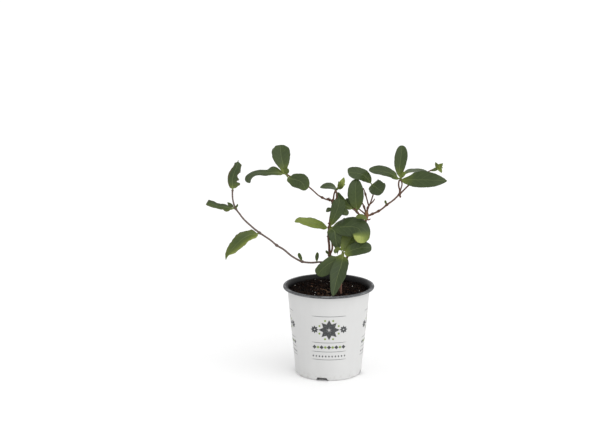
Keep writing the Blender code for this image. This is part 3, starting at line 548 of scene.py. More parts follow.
# The woody stems grew from the soil and carry everything else. They are thin, reddish and lightly
# fibrous, and swell at each node, where a pair of leaves stood. Side shoots are part of the stem.
def curve_through(points, steps=16):
    """Smooth line through the points. Each span is a cubic whose end slopes are the chords before
    and after that point, weighted by the length of the other one. Further columns follow it."""
    p = np.array(points, float)
    span = np.linalg.norm(np.diff(p[:, :3], axis=0), axis=1)[:, None]
    chord = np.diff(p, axis=0) / span
    slope = np.vstack([chord[:1], chord])
    slope[1:-1] = (chord[:-1] * span[1:] + chord[1:] * span[:-1]) / (span[:-1] + span[1:])
    slope[-1] = chord[-1]
    t = np.linspace(0, 1, steps, endpoint=False)[:, None]
    rise = (1 + 2 * t) * (1 - t) ** 2 * p[:-1, None] + t**2 * (3 - 2 * t) * p[1:, None]
    lean = t * (1 - t) ** 2 * slope[:-1, None] - t**2 * (1 - t) * slope[1:, None]
    return np.vstack([(rise + lean * span[:, None]).reshape(-1, p.shape[1]), p[-1:]])


def lengths_along(line):
    """Distance of each point of a line from its start."""
    return np.concatenate([[0], np.cumsum(np.linalg.norm(np.diff(line[:, :3], axis=0), axis=1))])


def sample(line, distances):
    """Points of a line at the given distances from its start."""
    along = lengths_along(line)
    return np.column_stack([np.interp(distances, along, line[:, k]) for k in range(line.shape[1])])


def unit(vectors):
    """Vectors of length one, row by row."""
    return vectors / np.linalg.norm(vectors, axis=-1, keepdims=True)


def tangents(line):
    """Direction of a line at each of its points."""
    return unit(np.gradient(line[:, :3], axis=0))


def twig(points, knots=(), swell=0.6, sides=16, step=0.6, flare=0.0):
    """One round stem along a curve of (x, y, z, radius), with its closed ends. At each knot, a
    point's number, the radius swells by a bell curve, and two fine rings mark the leaf scars. The
    bark has shallow ridges along it and fine grain. Returns points, faces, bark place and knot."""
    line = curve_through(points)
    along = lengths_along(line)
    total = along[-1]
    places = np.linspace(0, total, max(6, round(total / step) + 1))
    path = sample(line, places)
    ahead = tangents(path)
    side = unit(np.cross(ahead, (0.0, 1.0, 0.0)))
    up = np.cross(ahead, side)
    turn = np.arange(sides) * math.tau / sides
    knot = np.zeros(len(places))
    radius = path[:, 3].copy()
    for at in (along[16 * k] for k in knots):
        bell = np.exp(-(((places - at) / 1.6) ** 2))
        rings = np.exp(-(((np.abs(places - at) - 0.9) / 0.35) ** 2))
        radius += swell * bell + 0.14 * rings
        knot = np.maximum(knot, np.maximum(bell, 0.7 * rings))
    radius += flare * np.exp(-places / 1.5)
    taper = np.clip((total - places) / (0.8 * path[-1, 3]), 0, 1)
    radius = radius * (0.35 + 0.65 * np.sqrt(1 - (1 - taper) ** 2))
    out = side[:, None] * np.cos(turn)[:, None] + up[:, None] * np.sin(turn)[:, None]
    place = path[:, None, :3] + out * radius[:, None, None]
    coarse = grain(place * (1, 1, 0.6) + 40, 2.3)
    ridges = 0.035 * np.sin(5 * turn + 0.3 * places[:, None] + 2 * coarse)
    bumps = radius[:, None] * (1 + 0.05 * coarse + ridges) + 0.05 * grain(place + 90, 0.9)
    place = path[:, None, :3] + out * bumps[..., None]
    bark = np.stack([np.cos(turn) + 0 * places[:, None], np.sin(turn) + 0 * places[:, None],
                     places[:, None] + 0 * turn], axis=-1)
    points = np.vstack([place.reshape(-1, 3), path[:1, :3], path[-1:, :3]])
    bark = np.vstack([bark.reshape(-1, 3), (0, 0, 0), (0, 0, total)])
    knot = np.append(np.repeat(knot, sides), (knot[0], knot[-1]))
    return points, ring_faces(len(places), sides), bark, knot


def joined(parts):
    """Several closed shapes as one mesh: their points and attributes stacked, their faces renumbered."""
    counts = np.cumsum([0] + [len(part[0]) for part in parts])
    faces = [[corner + base for corner in face] for part, base in zip(parts, counts) for face in part[1]]
    return np.vstack([part[0] for part in parts]), faces, *(
        np.concatenate([part[k] for part in parts]) for k in range(2, len(parts[0])))


def bark_material(name, base, light, deep, peel, woody=0.0):
    """Bark: streaks and flecks along the stem, darker at the nodes, with thin paler peeling strips.
    Below a height, "woody" in metres, it has turned to brown wood."""
    made, shader, start = new_material(name, 0.3)
    bark = start.node("Attribute", attribute_name="bark", output=1)
    knot = start.node("Attribute", attribute_name="knot", output=2)
    place = start.node("TexCoord", output=3)
    streak = bark.stretch((2.2, 2.2, 0.35)).noise(1.6, 4.0)
    fleck = place.noise(600.0, 4.0)
    patch = place.noise(90.0, 2.0)
    strip = bark.stretch((3.0, 3.0, 0.18)).noise(2.0, 2.0).step(0.6, 0.68) * patch.step(0.4, 0.65)
    colour = (streak * 0.6 + fleck * 0.4).ramp((0.3, deep), (0.5, base), (0.7, light))
    colour = (strip * peel).blend(colour, (0.3, 0.2, 0.13))
    colour = (knot * 0.6 * fleck.step(0.3, 0.7)).blend(colour, deep)
    colour = (1 - place.part(2).step(woody - 0.01, woody)).blend(colour, (0.2, 0.1, 0.07))
    feed(shader, colour, 0.55 + streak * 0.25, streak + fleck * 0.5 + strip, distance=0.00025, strength=0.7)
    return made


BARK_RED = bark_material("bark_red", (0.12, 0.058, 0.036), (0.2, 0.105, 0.065), (0.04, 0.02, 0.014), 0.6)
BARK_GREY = bark_material("bark_grey", (0.12, 0.082, 0.07), (0.21, 0.155, 0.13), (0.045, 0.03, 0.026), 0.5)
BARK_TAN = bark_material("bark_tan", (0.19, 0.1, 0.045), (0.27, 0.16, 0.085), (0.1, 0.04, 0.02), 0.4)
BARK_GREEN = bark_material("shoot_green", (0.12, 0.14, 0.035), (0.2, 0.23, 0.06), (0.085, 0.075, 0.025), 0.1, 0.128)


def make_stem(name, material, slot, *twigs):
    """A stem and its side shoots as one piece, in place of its plain solid."""
    points, faces, bark, knot = joined(twigs)
    make_piece(name + "_bark", points, faces, material, slot, [name], bark=bark, knot=knot)


def scales(x, y, z, size=1.0):
    """Stubby bud scales round a node: short pointed pegs that lean out to each side and up."""
    ways = ((-1, -0.3, 0.7), (1, -0.2, 0.8), (-0.5, -0.9, 0.5), (0.6, 0.7, 0.6))
    return [twig([(x, y, z, 0.8 * size), (x + dx * size, y + dy * size, z + dz * size, 0.6 * size),
                  (x + 1.9 * dx * size, y + 1.9 * dy * size, z + 2.2 * dz * size, 0.3 * size)],
                 sides=10, step=0.35) for dx, dy, dz in ways]


root = twig(np.column_stack([root_line, root_level, np.linspace(0.5, 0.28, len(root_line))]), sides=8)
make_piece("soil_root", *root[:2], BARK_TAN, "soil", bark=root[2], knot=root[3])
make_stem(
    "stem_centre", BARK_RED, "bark_red",
    twig([(5, -8, 90, 1.7), (5, -8, 107, 1.7), (4, -8, 122, 1.6), (3, -7, 137, 1.6), (1, -6, 153, 1.6),
          (0.3, -5.5, 166.3, 1.5), (-0.5, -5, 174.7, 1.5), (-0.4, -5, 182.4, 1.4), (0.3, -5, 187.9,
          1.4), (0.8, -5, 193.1, 1.3), (1.8, -4.5, 201, 1.3), (2.8, -4, 207.1, 1.2), (3.9, -3.5, 213.9,
          1.2), (4.9, -2.5, 218.5, 1.4), (3.2, -2, 222, 1.5)], knots=(4, 8, 13), swell=0.8),
    twig([(1, -6, 153, 1.3), (4, -8, 161, 1.2), (3.5, -8.5, 173, 1.2), (2, -7, 184, 1.1), (0, -5.3, 190,
          0.9)]),
    twig([(5.2, -2, 219.9, 1.2), (5.6, -2.4, 224.4, 1.1), (6.2, -3, 229.6, 1), (7.9, -4.6, 235.3, 1.1),
          (8.2, -5, 237, 0.9)], step=0.4),
    twig([(6, -2, 220.4, 1), (8.9, -2.5, 223.8, 1), (9.6, -3, 229.6, 0.9), (8.8, -4.8, 235.4, 1), (9.3, -5,
          237.5, 0.9)], step=0.4),
    twig([(0.6, -5, 192.6, 0.8), (-0.7, -5.5, 193.5, 0.8), (-1.4, -5.7, 194.3, 0.5)], step=0.3),
    twig([(-0.5, -5, 176, 0.8), (-1.9, -5.5, 176.6, 0.8), (-2.7, -5.7, 177.5, 0.5)], step=0.3),
    *scales(2.8, -2.4, 221.6, 1.4),
    *scales(-1.2, -0.5, 223.6, 1.0),
    *scales(1, -6, 153, 0.9))
make_stem(
    "stem_runner_low", BARK_GREY, "bark_grey",
    twig([(0.3, -7.2, 143, 1.2), (-11, -10, 145.1, 1.2), (-22, -14, 145.4, 1.2), (-33.3, -18, 147.8,
          1.2), (-41.1, -19.5, 152, 1.2), (-46.3, -20.5, 155.6, 1.2), (-56.7, -22, 164.7, 1.2), (-64.7,
          -23, 169.8, 1.2), (-72.1, -24, 176.5, 1.1), (-78.2, -24.5, 180.9, 1.1), (-85.7, -25, 186.2,
          1.2), (-97.4, -26, 196.2, 1.1), (-105.4, -26, 204.1, 1.1), (-110.1, -26, 210.3, 1.1), (-114.9,
          -27, 217.5, 1.1), (-117.8, -26.5, 225.8, 1), (-118.8, -26, 234.1, 1), (-118.6, -25, 240.7,
          1.1)],
          knots=(3, 7, 10, 14, 17), swell=0.7))
make_stem(
    "stem_runner_high", BARK_RED, "bark_red",
    twig([(0.85, -0.85, 222, 1.0), (0.8, 1, 221.9, 1.2), (-3.3, 3, 222.1, 1), (-8.4, 6, 223.8, 1), (-13.5,
          9, 226.3, 0.9), (-17.2, 11, 229.3, 0.9), (-24.3, 14, 235.1, 0.9), (-38, 19, 243, 0.9), (-49,
          23, 247.5, 0.9), (-54, 25, 250, 1.1)], knots=(1, 3, 9), swell=0.7))
make_stem(
    "stem_right", BARK_RED, "bark_red",
    twig([(14, -14, 90, 1.5), (14, -14, 108, 1.5), (16, -13, 128, 1.5), (19, -12, 142, 1.5), (23, -10, 152,
          1.5), (30, -5, 164, 1.4), (39, 0, 180, 1.4), (44.7, 3.2, 190.5, 1.5), (47, 4.2, 198.3, 1.7)]),
    twig([(47.5, 5, 201.2, 1.4), (49.5, 5, 201.2, 1.3), (54.2, 6, 202.8, 1.2), (62, 8, 206.1, 1.2),
          (67.4, 9.5, 209.4, 1.1), (72.3, 11, 213.4, 1.2), (76.8, 12.5, 216.2, 1.1), (81.9, 14, 219.9,
          1.1), (85, 15, 222.8, 1.1), (88.1, 16, 225.7, 1.2), (92.5, 17.5, 229.6, 1), (97.7, 19.5,
          234.5, 1), (114, 25, 246, 0.9), (125, 29, 252, 0.85), (131, 31, 254.5, 0.85)], knots=(2, 3, 5, 9),
          swell=0.6),
    twig([(88.2, 16, 225.6, 1.1), (88.3, 15.5, 231, 1), (87.1, 14.5, 236.1, 1), (86.9, 13, 240.9, 1), (87.7,
          12, 245, 1)]),
    twig([(88.5, 16, 226.6, 1), (89.6, 16, 231.7, 0.9), (90.9, 15.5, 236.5, 0.9), (91, 14, 240.7, 0.9),
          (89.1, 12, 244.9, 1)]),
    twig([(89, 12.3, 243.8, 1.4), (89, 12, 246.8, 1.6)], step=0.3),
    twig([(88.3, 16, 225, 1.2), (89.2, 16, 222.7, 1.2), (89.6, 16, 221.2, 0.8)], step=0.3),
    twig([(47.2, 4.2, 196.6, 1.1), (49.5, 5, 195.6, 0.9), (52.2, 5, 196.9, 0.6)], step=0.4),
    twig([(47.7, 5, 204.8, 1.3), (48.6, 5, 211.2, 1.1), (51, 5, 215.4, 1), (53.1, 6, 221.3, 0.9), (55, 6.5,
          228, 0.9), (54.7, 7, 235.1, 0.9), (53, 7, 240.5, 0.9)], knots=(1,), swell=0.5),
    twig([(51.7, 5, 215.8, 0.8), (55, 3, 219.7, 0.8), (56.9, 1, 223.4, 0.6)]),
    twig([(49.6, 5, 213.2, 0.9), (47.6, 8, 220.3, 0.9), (45.5, 11, 227, 0.9), (44.4, 12.5, 230.4, 0.8),
          (42.8, 14, 234.3, 0.7)], knots=(2,), swell=0.5),
    twig([(46.2, 5, 205.1, 1.3), (45, 6, 208.5, 1.1), (43.8, 7, 211.7, 1), (41.7, 9, 215.9, 0.85),
          (39.8, 11, 218.6, 0.8), (37.6, 13, 222.9, 0.7)], knots=(2,), swell=0.5),
    twig([(45, 3.6, 191, 1.1), (40.9, 2, 199.9, 1.1), (38, 1, 203.1, 1.1), (35, 0, 206.5, 1.2), (32.7, -1,
          208.6, 1), (29.3, -2.8, 211.6, 0.9)], knots=(3,), swell=0.4),
    twig([(34.4, -0.5, 207.1, 1), (32.6, -1.5, 210.9, 0.9), (31.7, -0.5, 212.4, 0.8)], step=0.4),
    twig([(45.2, 5, 202.8, 1), (40.1, 2, 207.9, 0.9), (37, 0.8, 210.2, 0.8), (35, 0, 209.8, 0.8)]),
    *scales(47.3, 4.6, 206.5, 0.8))
hub = twig([(47.1, 4.1, 196.3, 1.5), (47, 4.4, 199.6, 2.3), (46.7, 4.8, 203.2, 2.6), (46.9, 5, 206.1, 1.9),
          (47.3, 5, 207.9, 1.2)], knots=(2,), swell=0.2, sides=20)
make_piece("stem_right_hub", *hub[:2], BARK_TAN, "bark_red", bark=hub[2], knot=hub[3] * 0)
make_stem(
    "stem_green", BARK_GREEN, "shoot_green",
    twig([(15, -20, 90, 1.0), (15, -20, 108, 1.0), (15.5, -20, 125, 1.0), (16, -20, 140, 1.0),
          (17, -21, 153, 1.5), (17.2, -22, 160.5, 1.8)], knots=(5,), swell=0.4))


# Each leaf grew from a node on a short stalk that runs on as its midrib. The blade is thin, firm
# and oval, shiny dark green above and paler below. Young leaves are yellow green, and the same yellow
# green is painted on leaves that light shines through from behind: painted light.
SHEET_HALF = 0.18
STALK_ROOT = 0.8
COLUMNS_ACROSS = 27
SIDE_VEINS = 6


def leaf_shape(path, width, faces, young=(0.1,), across=(0.0,), rim=0.0, worn=0.0, rise=0.7, fall=0.5,
               fold=0.15, curl=0.0, wave=0.0, waves=2.0, ragged=0.03, fork=0.0, bites=(), stalk=1.2,
               stalk_radius=0.7, clear=2.0, rows=60):
    """One leaf with its stalk: a closed cross-section carried along the curve of its midrib.

    With q from 0 at the blade's base to 1 at its tip, the half width is
    width / 2 * (q / m)^rise * ((1 - q) / (1 - m))^fall, where m = rise / (rise + fall). Across the
    blade, e runs from -1 to 1. It is lifted by fold * |e| and curl * e^2 times the half width, by a
    wave of "wave" mm at its edges, and by a slight puff between the side veins. The section is a
    thin lens plus a round rib, which is the whole stalk below the blade and a ridge under it.
    A bite is (side, place, half length, depth), "ragged" is how uneven the edge is, and "fork" is how
    far the middle of the tip is drawn back. The leaf's youth is given from base to tip, and so is
    "across", which adds to it from one edge to the other, as "rim" does at both edges. The yellow green
    of youth also stands for painted light, where light shines through a backlit leaf. "worn" is how
    brown the edges are."""
    line = curve_through(path)
    total = lengths_along(line)[-1]
    base = clear + stalk
    t = np.linspace(0, 1, rows)
    t = 0.55 * t + 0.225 * (1 - np.cos(math.pi * t))
    places = np.concatenate([np.linspace(max(clear - STALK_ROOT, 0), base, 9)[:-1], base + (total - base) * t])
    q = np.clip((places - base) / (total - base), 0, 1)[:, None]
    middle = sample(line, places)[:, :3]
    along = tangents(middle)
    keys = np.linspace(0, 1, len(faces))
    looks = unit(np.array(faces, float))
    normal = np.column_stack([np.interp(q[:, 0], keys, looks[:, k]) for k in range(3)])
    normal = unit(normal - along * (normal * along).sum(axis=1, keepdims=True))
    side = np.cross(along, normal)
    e = np.linspace(-1, 1, COLUMNS_ACROSS)
    e = e * (0.5 + 0.5 * np.abs(e))
    e = np.concatenate([e[::-1], e[1:-1]])[None, :]
    top = np.concatenate([np.zeros(COLUMNS_ACROSS), np.ones(COLUMNS_ACROSS - 2)])[None, :]
    widest = rise / (rise + fall)
    half = width / 2 * (q / widest) ** rise * ((1 - q) / (1 - widest)) ** fall
    half = np.hypot(half, stalk_radius * (1 - q) + 0.12 * q) + 0 * e
    for which, place, reach, depth in bites:
        half *= 1 - depth * np.clip(1 - ((q - place) / reach) ** 2, 0, 1) * np.clip(e * which * 4, 0, 1)
    spot = middle[:, None] + side[:, None] * (half * e)[..., None]
    half *= 1 + (ragged * grain(spot, 2.6) + 0.5 * ragged * grain(spot, 1.1)) * (q > 0) * np.abs(e)
    blade = np.clip(q / 0.06, 0, 1) * np.clip((1 - q) / 0.06, 0, 1)
    vein = (q * 1.06 - 0.3 * np.abs(e)) * SIDE_VEINS + 0.25 * np.sign(e)
    puff = 0.012 * width * np.cos(math.tau * vein) * np.abs(e) * (1 - e**2) * blade
    lift = half * (fold * np.abs(e) + curl * e**2) - puff + 0.02 * width * grain(spot, 7.0) * e**2 * blade
    lift = lift + wave * np.sin(math.tau * waves * q + 1.6 * e) * e**2 * np.sin(math.pi * q)
    rib = stalk_radius * (0.3 + 0.7 * np.exp(-q / 0.14)) * (1 - 0.75 * q)
    round_rib = np.sqrt(np.clip(rib**2 - (half * e) ** 2, 0, None))
    sheet = SHEET_HALF * np.sqrt(1 - np.abs(e) ** 8) * (q > 0)
    ridge = 1 - 1.3 * np.clip(q / 0.1, 0, 1)
    offset = np.where(top > 0, sheet + ridge * round_rib, -sheet - round_rib)
    points = middle[:, None] + side[:, None] * (half * e)[..., None] + normal[:, None] * (lift + offset)[..., None]
    points -= along[:, None] * (fork * q**8 * (1 - np.abs(e)))[..., None]
    lean = np.interp(q, np.linspace(0, 1, len(across)), across)
    # Yellow green from base to tip and across the blade: partly the leaf's youth, partly painted light shining through
    # backlit leaves.
    youth_and_backlight = np.interp(q, np.linspace(0, 1, len(young)), young) + lean * e + rim * e**2
    flat = np.abs(e) == 1
    top = np.where(flat, 0.5, top) + 0 * q
    blade_at = np.stack([e + 0 * q, q + 0 * e, half * e], axis=-1)
    shade = np.stack([youth_and_backlight, top, worn + 0 * youth_and_backlight], axis=-1)
    faces = ring_faces(len(places), blade_at.shape[1])
    ends = [points[0].mean(axis=0), points[-1].mean(axis=0)]
    return (np.vstack([points.reshape(-1, 3), ends]), faces,
            np.vstack([blade_at.reshape(-1, 3), (0, 0, 0), (0, 1, 0)]),
            np.vstack([shade.reshape(-1, 3), shade[0, 0], shade[-1, 0]]))


def leaf_material(name="leaf"):
    """Leaf skin. Its green goes from deep to yellow green with the leaf's youth, and with painted light
    where light shines through a backlit leaf, and it is paler below. The midrib and the stalk are pale,
    the side veins are faint, arched lines that also dent the skin, fine cells grain it, and worn edges
    are brown."""
    made, shader, start = new_material(name, 0.3)
    at = start.node("Attribute", attribute_name="blade", output=1)
    shade = start.node("Attribute", attribute_name="shade", output=1)
    place = start.node("TexCoord", output=3)
    e, q, x = at.part(0), at.part(1), at.part(2)
    youth_and_backlight, top, worn = shade.part(0), shade.part(1), shade.part(2)
    edge = abs(e)
    mottle = place.noise(150.0, 3.0)
    cells = place.noise(1300.0, 2.0)
    # The yellow-green end of this ramp is the leaf's youth and also painted light, where light shines through a backlit
    # leaf.
    green = (youth_and_backlight + (mottle - 0.5) * 0.22).ramp(
        (0.0, (0.029, 0.046, 0.013)), (0.25, (0.048, 0.072, 0.016)), (0.55, (0.09, 0.121, 0.018)),
        (0.78, (0.15, 0.19, 0.032)), (1.0, (0.29, 0.335, 0.08)))
    under = ((1 - top) * 0.55).blend(green, (0.08, 0.1, 0.05))
    way = e.maths("SIGN", e) * 0.25
    ladder = (q * 1.06 - edge * 0.3) * SIDE_VEINS + way
    line = abs(ladder.maths("FRACT", ladder) - 0.5)
    vein = (1 - line.step(0.02, 0.09)) * (1 - edge.step(0.5, 0.95)) * q.step(0.02, 0.12)
    rib_width = 0.3 + (1 - q) ** 3.0 * 0.75
    midrib = 1 - (abs(x) / rib_width).step(0.35, 1.0)
    colour = (vein * 0.25).blend(under, (0.1, 0.135, 0.05))
    colour = (midrib * 0.55).blend(colour, (0.14, 0.175, 0.06))
    stalk = 1 - q.step(0.0, 0.12)
    colour = (stalk * 0.6).blend(colour, (0.15, 0.185, 0.04))
    brown = worn * edge.step(0.55, 1.0) * place.noise(330.0, 3.0).step(0.35, 0.6)
    colour = brown.blend(colour, (0.12, 0.07, 0.03))
    height = vein * -0.6 + mottle * 0.5 + cells * 0.25 - midrib * 0.5
    feed(shader, colour, 0.36 + mottle * 0.14 + (1 - top) * 0.22, height, distance=0.00025, strength=0.6)
    return made


LEAF = leaf_material()


def make_leaf(node, path, width, faces, slot, *tips, **form):
    """A leaf in place of its plain solid, with any further small leaves or twigs of the same node."""
    points, skin, blade, shade = joined([leaf_shape(path, width, faces, **form), *tips])
    make_piece(node + "_blade", points, skin, LEAF, slot, [node], blade=blade, shade=shade)


# Leaves of the low runner
make_leaf("leaf_low_a", [(-85.7, -25, 186.1), (-88.8, -26, 184.7), (-96.4, -30, 184.9), (-106.2, -33.5,
          180.7), (-114.2, -33.5, 173.5), (-120.6, -31.5, 165.6), (-125, -29, 159), (-127.5, -27.5,
          152.1)], 17.5, ((-0.3, -0.75, 0.6), (-0.35, -0.9, 0.3), (0.2, -0.9, 0.2)), "leaf_light",
          rise=0.5, fall=0.9, fold=0.2, wave=1.3, waves=2.5, ragged=0.08, clear=1.0, stalk=2.0,
          stalk_radius=1.1, bites=((1, 0.28, 0.28, 0.1), (1, 0.68, 0.2, 0.02), (-1, 0.25, 0.2, 0.08),
          (-1, 0.85, 0.15, 0.2), (-1, 1.0, 0.2, 0.8)), young=(0.55, 0.3, 0.3, 0.45, 0.6),
          across=(-0.25,), rim=0.38, worn=0.25)
make_leaf("leaf_low_b", [(-115.4, -27, 217.6), (-120.1, -29, 217.7), (-124.4, -30.5, 219.2), (-128.2,
          -31.5, 220.2), (-133.8, -32.5, 221), (-137.8, -33, 222.1), (-142.9, -34, 224.1), (-146.9, -34,
          225.5), (-149.8, -33, 226.4)], 9.6, ((0, -0.7, 0.7), (0.1, -0.75, 0.6), (0, -0.7, 0.7)),
          "leaf_mid", rise=0.4, fall=0.12, fold=0.25, wave=0.6, waves=2.5, ragged=0.06, fork=2.2,
          clear=1.0, stalk=2.4, stalk_radius=0.9, young=(0.35, 0.1, 0.16), bites=((-1, 0.24, 0.14,
          -1.0), (1, 0.6, 0.35, 0.2), (1, 0.04, 0.12, 0.4), (-1, 0.62, 0.3, 0.06)), across=(-0.2,),
          worn=0.4)
make_leaf("leaf_low_c", [(-115.4, -27, 217.6), (-120.2, -24, 220), (-123.1, -23, 222.3), (-125.2, -22,
          224.2)], 4.6, ((-0.3, -0.7, 0.6), (-0.3, -0.7, 0.6)), "leaf_mid", stalk=1.0, stalk_radius=0.7,
          clear=2.0, fall=0.9, young=(0.35, 0.15), rows=24)
make_leaf("leaf_low_d", [(-115.2, -27, 216.8), (-113.9, -29, 220), (-112.1, -30, 224)], 3.2, ((0.5,
          -0.8, 0.0), (0.5, -0.8, 0.0)), "leaf_mid", stalk=1.0, stalk_radius=0.8, fall=0.8, clear=1.2,
          young=(0.4, 0.2), rows=24)
make_leaf("leaf_low_e", [(-118.6, -25, 240.4), (-118.5, -27, 248.1), (-118.5, -28.5, 254.7), (-117, -30,
          260.7), (-115.5, -30, 265), (-113.7, -29.5, 268.8), (-112.5, -28.5, 272.4), (-111.4, -25,
          277.8)], 19.5, ((0.1, -0.95, 0.1), (0.2, -0.93, 0.2), (0.3, -0.9, 0.2)), "leaf_mid", rise=0.3,
          fall=0.15, fold=0.22, wave=0.6, ragged=0.05, clear=0.9, stalk_radius=1.2, young=(0.55, 0.12,
          0.04, 0.05), worn=0.6, bites=((-1, 0.5, 3.0, 0.3), (-1, 0.82, 0.3, 0.35), (-1, 0.97, 0.11,
          0.93), (1, 0.15, 0.06, -0.3), (1, 0.24, 0.05, 0.35), (1, 0.34, 0.05, 0.12), (1, 0.52, 0.14,
          0.5), (1, 0.8, 0.22, 0.45), (1, 0.97, 0.11, 0.93)))

# Leaves of the high runner
make_leaf("leaf_high_a", [(-54, 25, 250), (-55, 25, 254), (-57.3, 26.5, 263), (-59.5, 29.5, 273),
          (-60.7, 33, 285.2)], 23.3, ((0.1, -0.95, 0.2), (0.1, -0.95, 0.3), (0.05, -0.9, 0.4)),
          "leaf_dark", rise=0.8, fall=0.35, fold=0.15, stalk_radius=1.0, clear=1.4, bites=((-1, 0.93,
          0.06, 0.15), (1, 0.97, 0.08, 0.15)), young=(0.75, 0.2, 0.08, 0.12))
make_leaf("leaf_high_b", [(-54, 25, 250), (-59, 24, 250.9), (-66.5, 22, 252.2), (-78.3, 21, 251.8),
          (-88.2, 20, 252.5), (-94.8, 19, 250.8), (-100.1, 18, 245.7), (-100.7, 18, 239.7)], 17, ((-0.1,
          -0.75, 0.65), (-0.05, -0.65, 0.75), (0, -0.45, 0.9), (-0.05, -0.35, 0.95), (-0.45, -0.45,
          0.8), (-0.75, -0.65, 0.1)), "leaf_mid", rise=0.5, fall=0.3, fold=0.1, curl=-0.1, wave=0.5,
          ragged=0.05, clear=1.4, stalk=2.0, stalk_radius=1.1, bites=((1, 0.2, 0.17, -0.65), (-1, 0.2,
          0.2, 0.25), (1, 0.6, 0.35, 0.3), (-1, 0.5, 0.28, 0.3), (-1, 0.8, 0.2, 0.2)), young=(0.55, 0.2,
          0.08, 0.05, 0.1))
make_leaf("leaf_high_c", [(-54, 25, 250), (-49.4, 19, 245.6), (-42.4, 14, 245.1), (-35.6, 8, 244.1),
          (-31.2, 0, 240.9), (-29.1, -5, 235.4)], 20.5, ((-0.3, -0.7, 0.65), (-0.2, -0.85, 0.45), (-0.2,
          -0.85, 0.4)), "leaf_dark", rise=0.45, fall=0.5, fold=0.1, curl=-0.1, stalk=5.0,
          stalk_radius=0.9, bites=((-1, 0.25, 0.25, 0.14), (1, 0.1, 0.12, 0.15)), young=(0.3, 0.1, 0.12,
          0.25), rim=0.06)
make_leaf("leaf_high_d", [(-53.8, 24.5, 249), (-52.5, 22.5, 253), (-52.3, 22, 257.9)], 6.2, ((0.2, -0.9,
          0.2), (0.2, -0.9, 0.2)), "leaf_light", leaf_shape([(-53.9, 23.5, 250), (-57.6, 23.5, 254.3),
          (-61.1, 25, 257.6)], 3.4, ((-0.2, -0.9, 0.3),) * 2, clear=0.4, stalk=0.5, stalk_radius=0.8,
          fall=0.9, young=(0.85, 0.7), rows=24), stalk=0.6, stalk_radius=1.0, clear=0.4, young=(0.55,
          0.4), fall=0.6, rows=24)

# Leaves of the centre stem
make_leaf("leaf_centre_a", [(0.1, -5, 187.8), (-5.2, -8, 189.5), (-10.3, -12, 192.7), (-16.5, -16,
          195.3), (-22.6, -19, 197.3), (-30.7, -23, 199.9), (-37.3, -25, 201.9), (-42.5, -26, 200.1)],
          13.3, ((0, -0.75, 0.65), (0, -0.8, 0.6)), "leaf_light", rise=0.5, fall=0.6, wave=0.6,
          clear=1.6, stalk=1.6, stalk_radius=0.8, ragged=0.05, young=(0.6, 0.7, 0.76, 0.8))
make_leaf("leaf_centre_b", [(1.7, -5.5, 189.5), (3.7, -9.5, 194.6), (6.3, -13.5, 203.1), (9.7, -16,
          211.9), (11.9, -17, 220.1), (13.1, -16, 227)], 17, ((-0.1, -0.9, 0.4), (-0.1, -0.95, 0.25),
          (-0.1, -0.95, 0.1)), "leaf_dark", rise=0.95, fall=0.33, clear=1.2, stalk_radius=0.9,
          young=(0.7, 0.25, 0.1, 0.08))
make_leaf("leaf_centre_c", [(1.3, -5, 188.1), (8.7, -10, 190.2), (15, -14, 190.9), (23.7, -18, 192.4),
          (31.4, -21, 192.6), (37.4, -25, 190.3), (39.6, -29, 184.7), (38.9, -31, 174.5)], 27, ((0,
          -0.72, 0.7), (0, -0.8, 0.6), (0.1, -0.87, 0.5), (0.2, -0.9, 0.35), (0.1, -0.95, 0.2)),
          "leaf_dark", leaf_shape([(32.6, -19, 204.5), (39.8, -20.5, 205.7), (46.6, -22, 202.3)], 6.5,
          ((0.1, -0.8, 0.6),) * 2, clear=0.0, stalk=0.3, stalk_radius=0.3, rise=0.5, fall=0.6,
          young=(0.5, 0.6), rows=24), rise=0.52, fall=0.42, fold=0.06, curl=-0.12, clear=2.0, stalk=2.5,
          stalk_radius=1.0, wave=0.5, bites=((1, 0.72, 0.2, 0.12), (-1, 0.12, 0.18, -0.25)), young=(0.7,
          0.15, 0.06, 0.04, 0.04, 0.08, 0.92, 1.1), across=(0, 0, 0, 0, 0, 0.05, 0.38, 0.3))
make_leaf("leaf_centre_d", [(0.4, -7, 187.6), (3.5, -11, 187.3), (7.1, -15, 185.1), (7.7, -17, 180.2),
          (8.9, -18, 172.8), (10.4, -18, 166.4), (10.3, -17, 155.8)], 18.5, ((-0.1, -0.6, 0.8), (-0.1,
          -0.97, 0.1), (0, -0.97, 0.1)), "leaf_dark", rise=0.35, fall=1.35, clear=1.0, young=(0.25,
          0.05, 0.05, 0.3))
make_leaf("leaf_centre_e", [(4, -3.5, 213.5), (1.2, -7, 212.3), (-3.7, -9, 208.9)], 6.4, ((-0.4, -0.8,
          0.4), (-0.4, -0.8, 0.4)), "leaf_dark", stalk_radius=0.6, clear=0.9, stalk=0.8, fall=0.8,
          young=(0.2, 0.02), rows=24)
make_leaf("leaf_centre_f", [(1.5, -4.3, 202), (8.5, -7, 206.6), (17.3, -9, 209.3), (24.1, -10, 206.2)],
          9.4, ((0, -0.85, 0.5), (0.2, -0.85, 0.4)), "leaf_dark", fall=0.4, clear=2.3, young=(0.3,
          0.15), rows=32)
make_leaf("leaf_centre_g", [(10.2, -5, 237.2), (6.6, -8, 239.5), (1.9, -11, 241.4), (-4.3, -14, 242),
          (-7.7, -15, 241.6), (-11.2, -16, 241.2)], 14.3, ((0, -0.5, 0.87), (-0.1, -0.5, 0.87)),
          "leaf_dark", rise=0.28, fall=0.6, clear=0.6, young=(0.2, 0.04, 0.08))

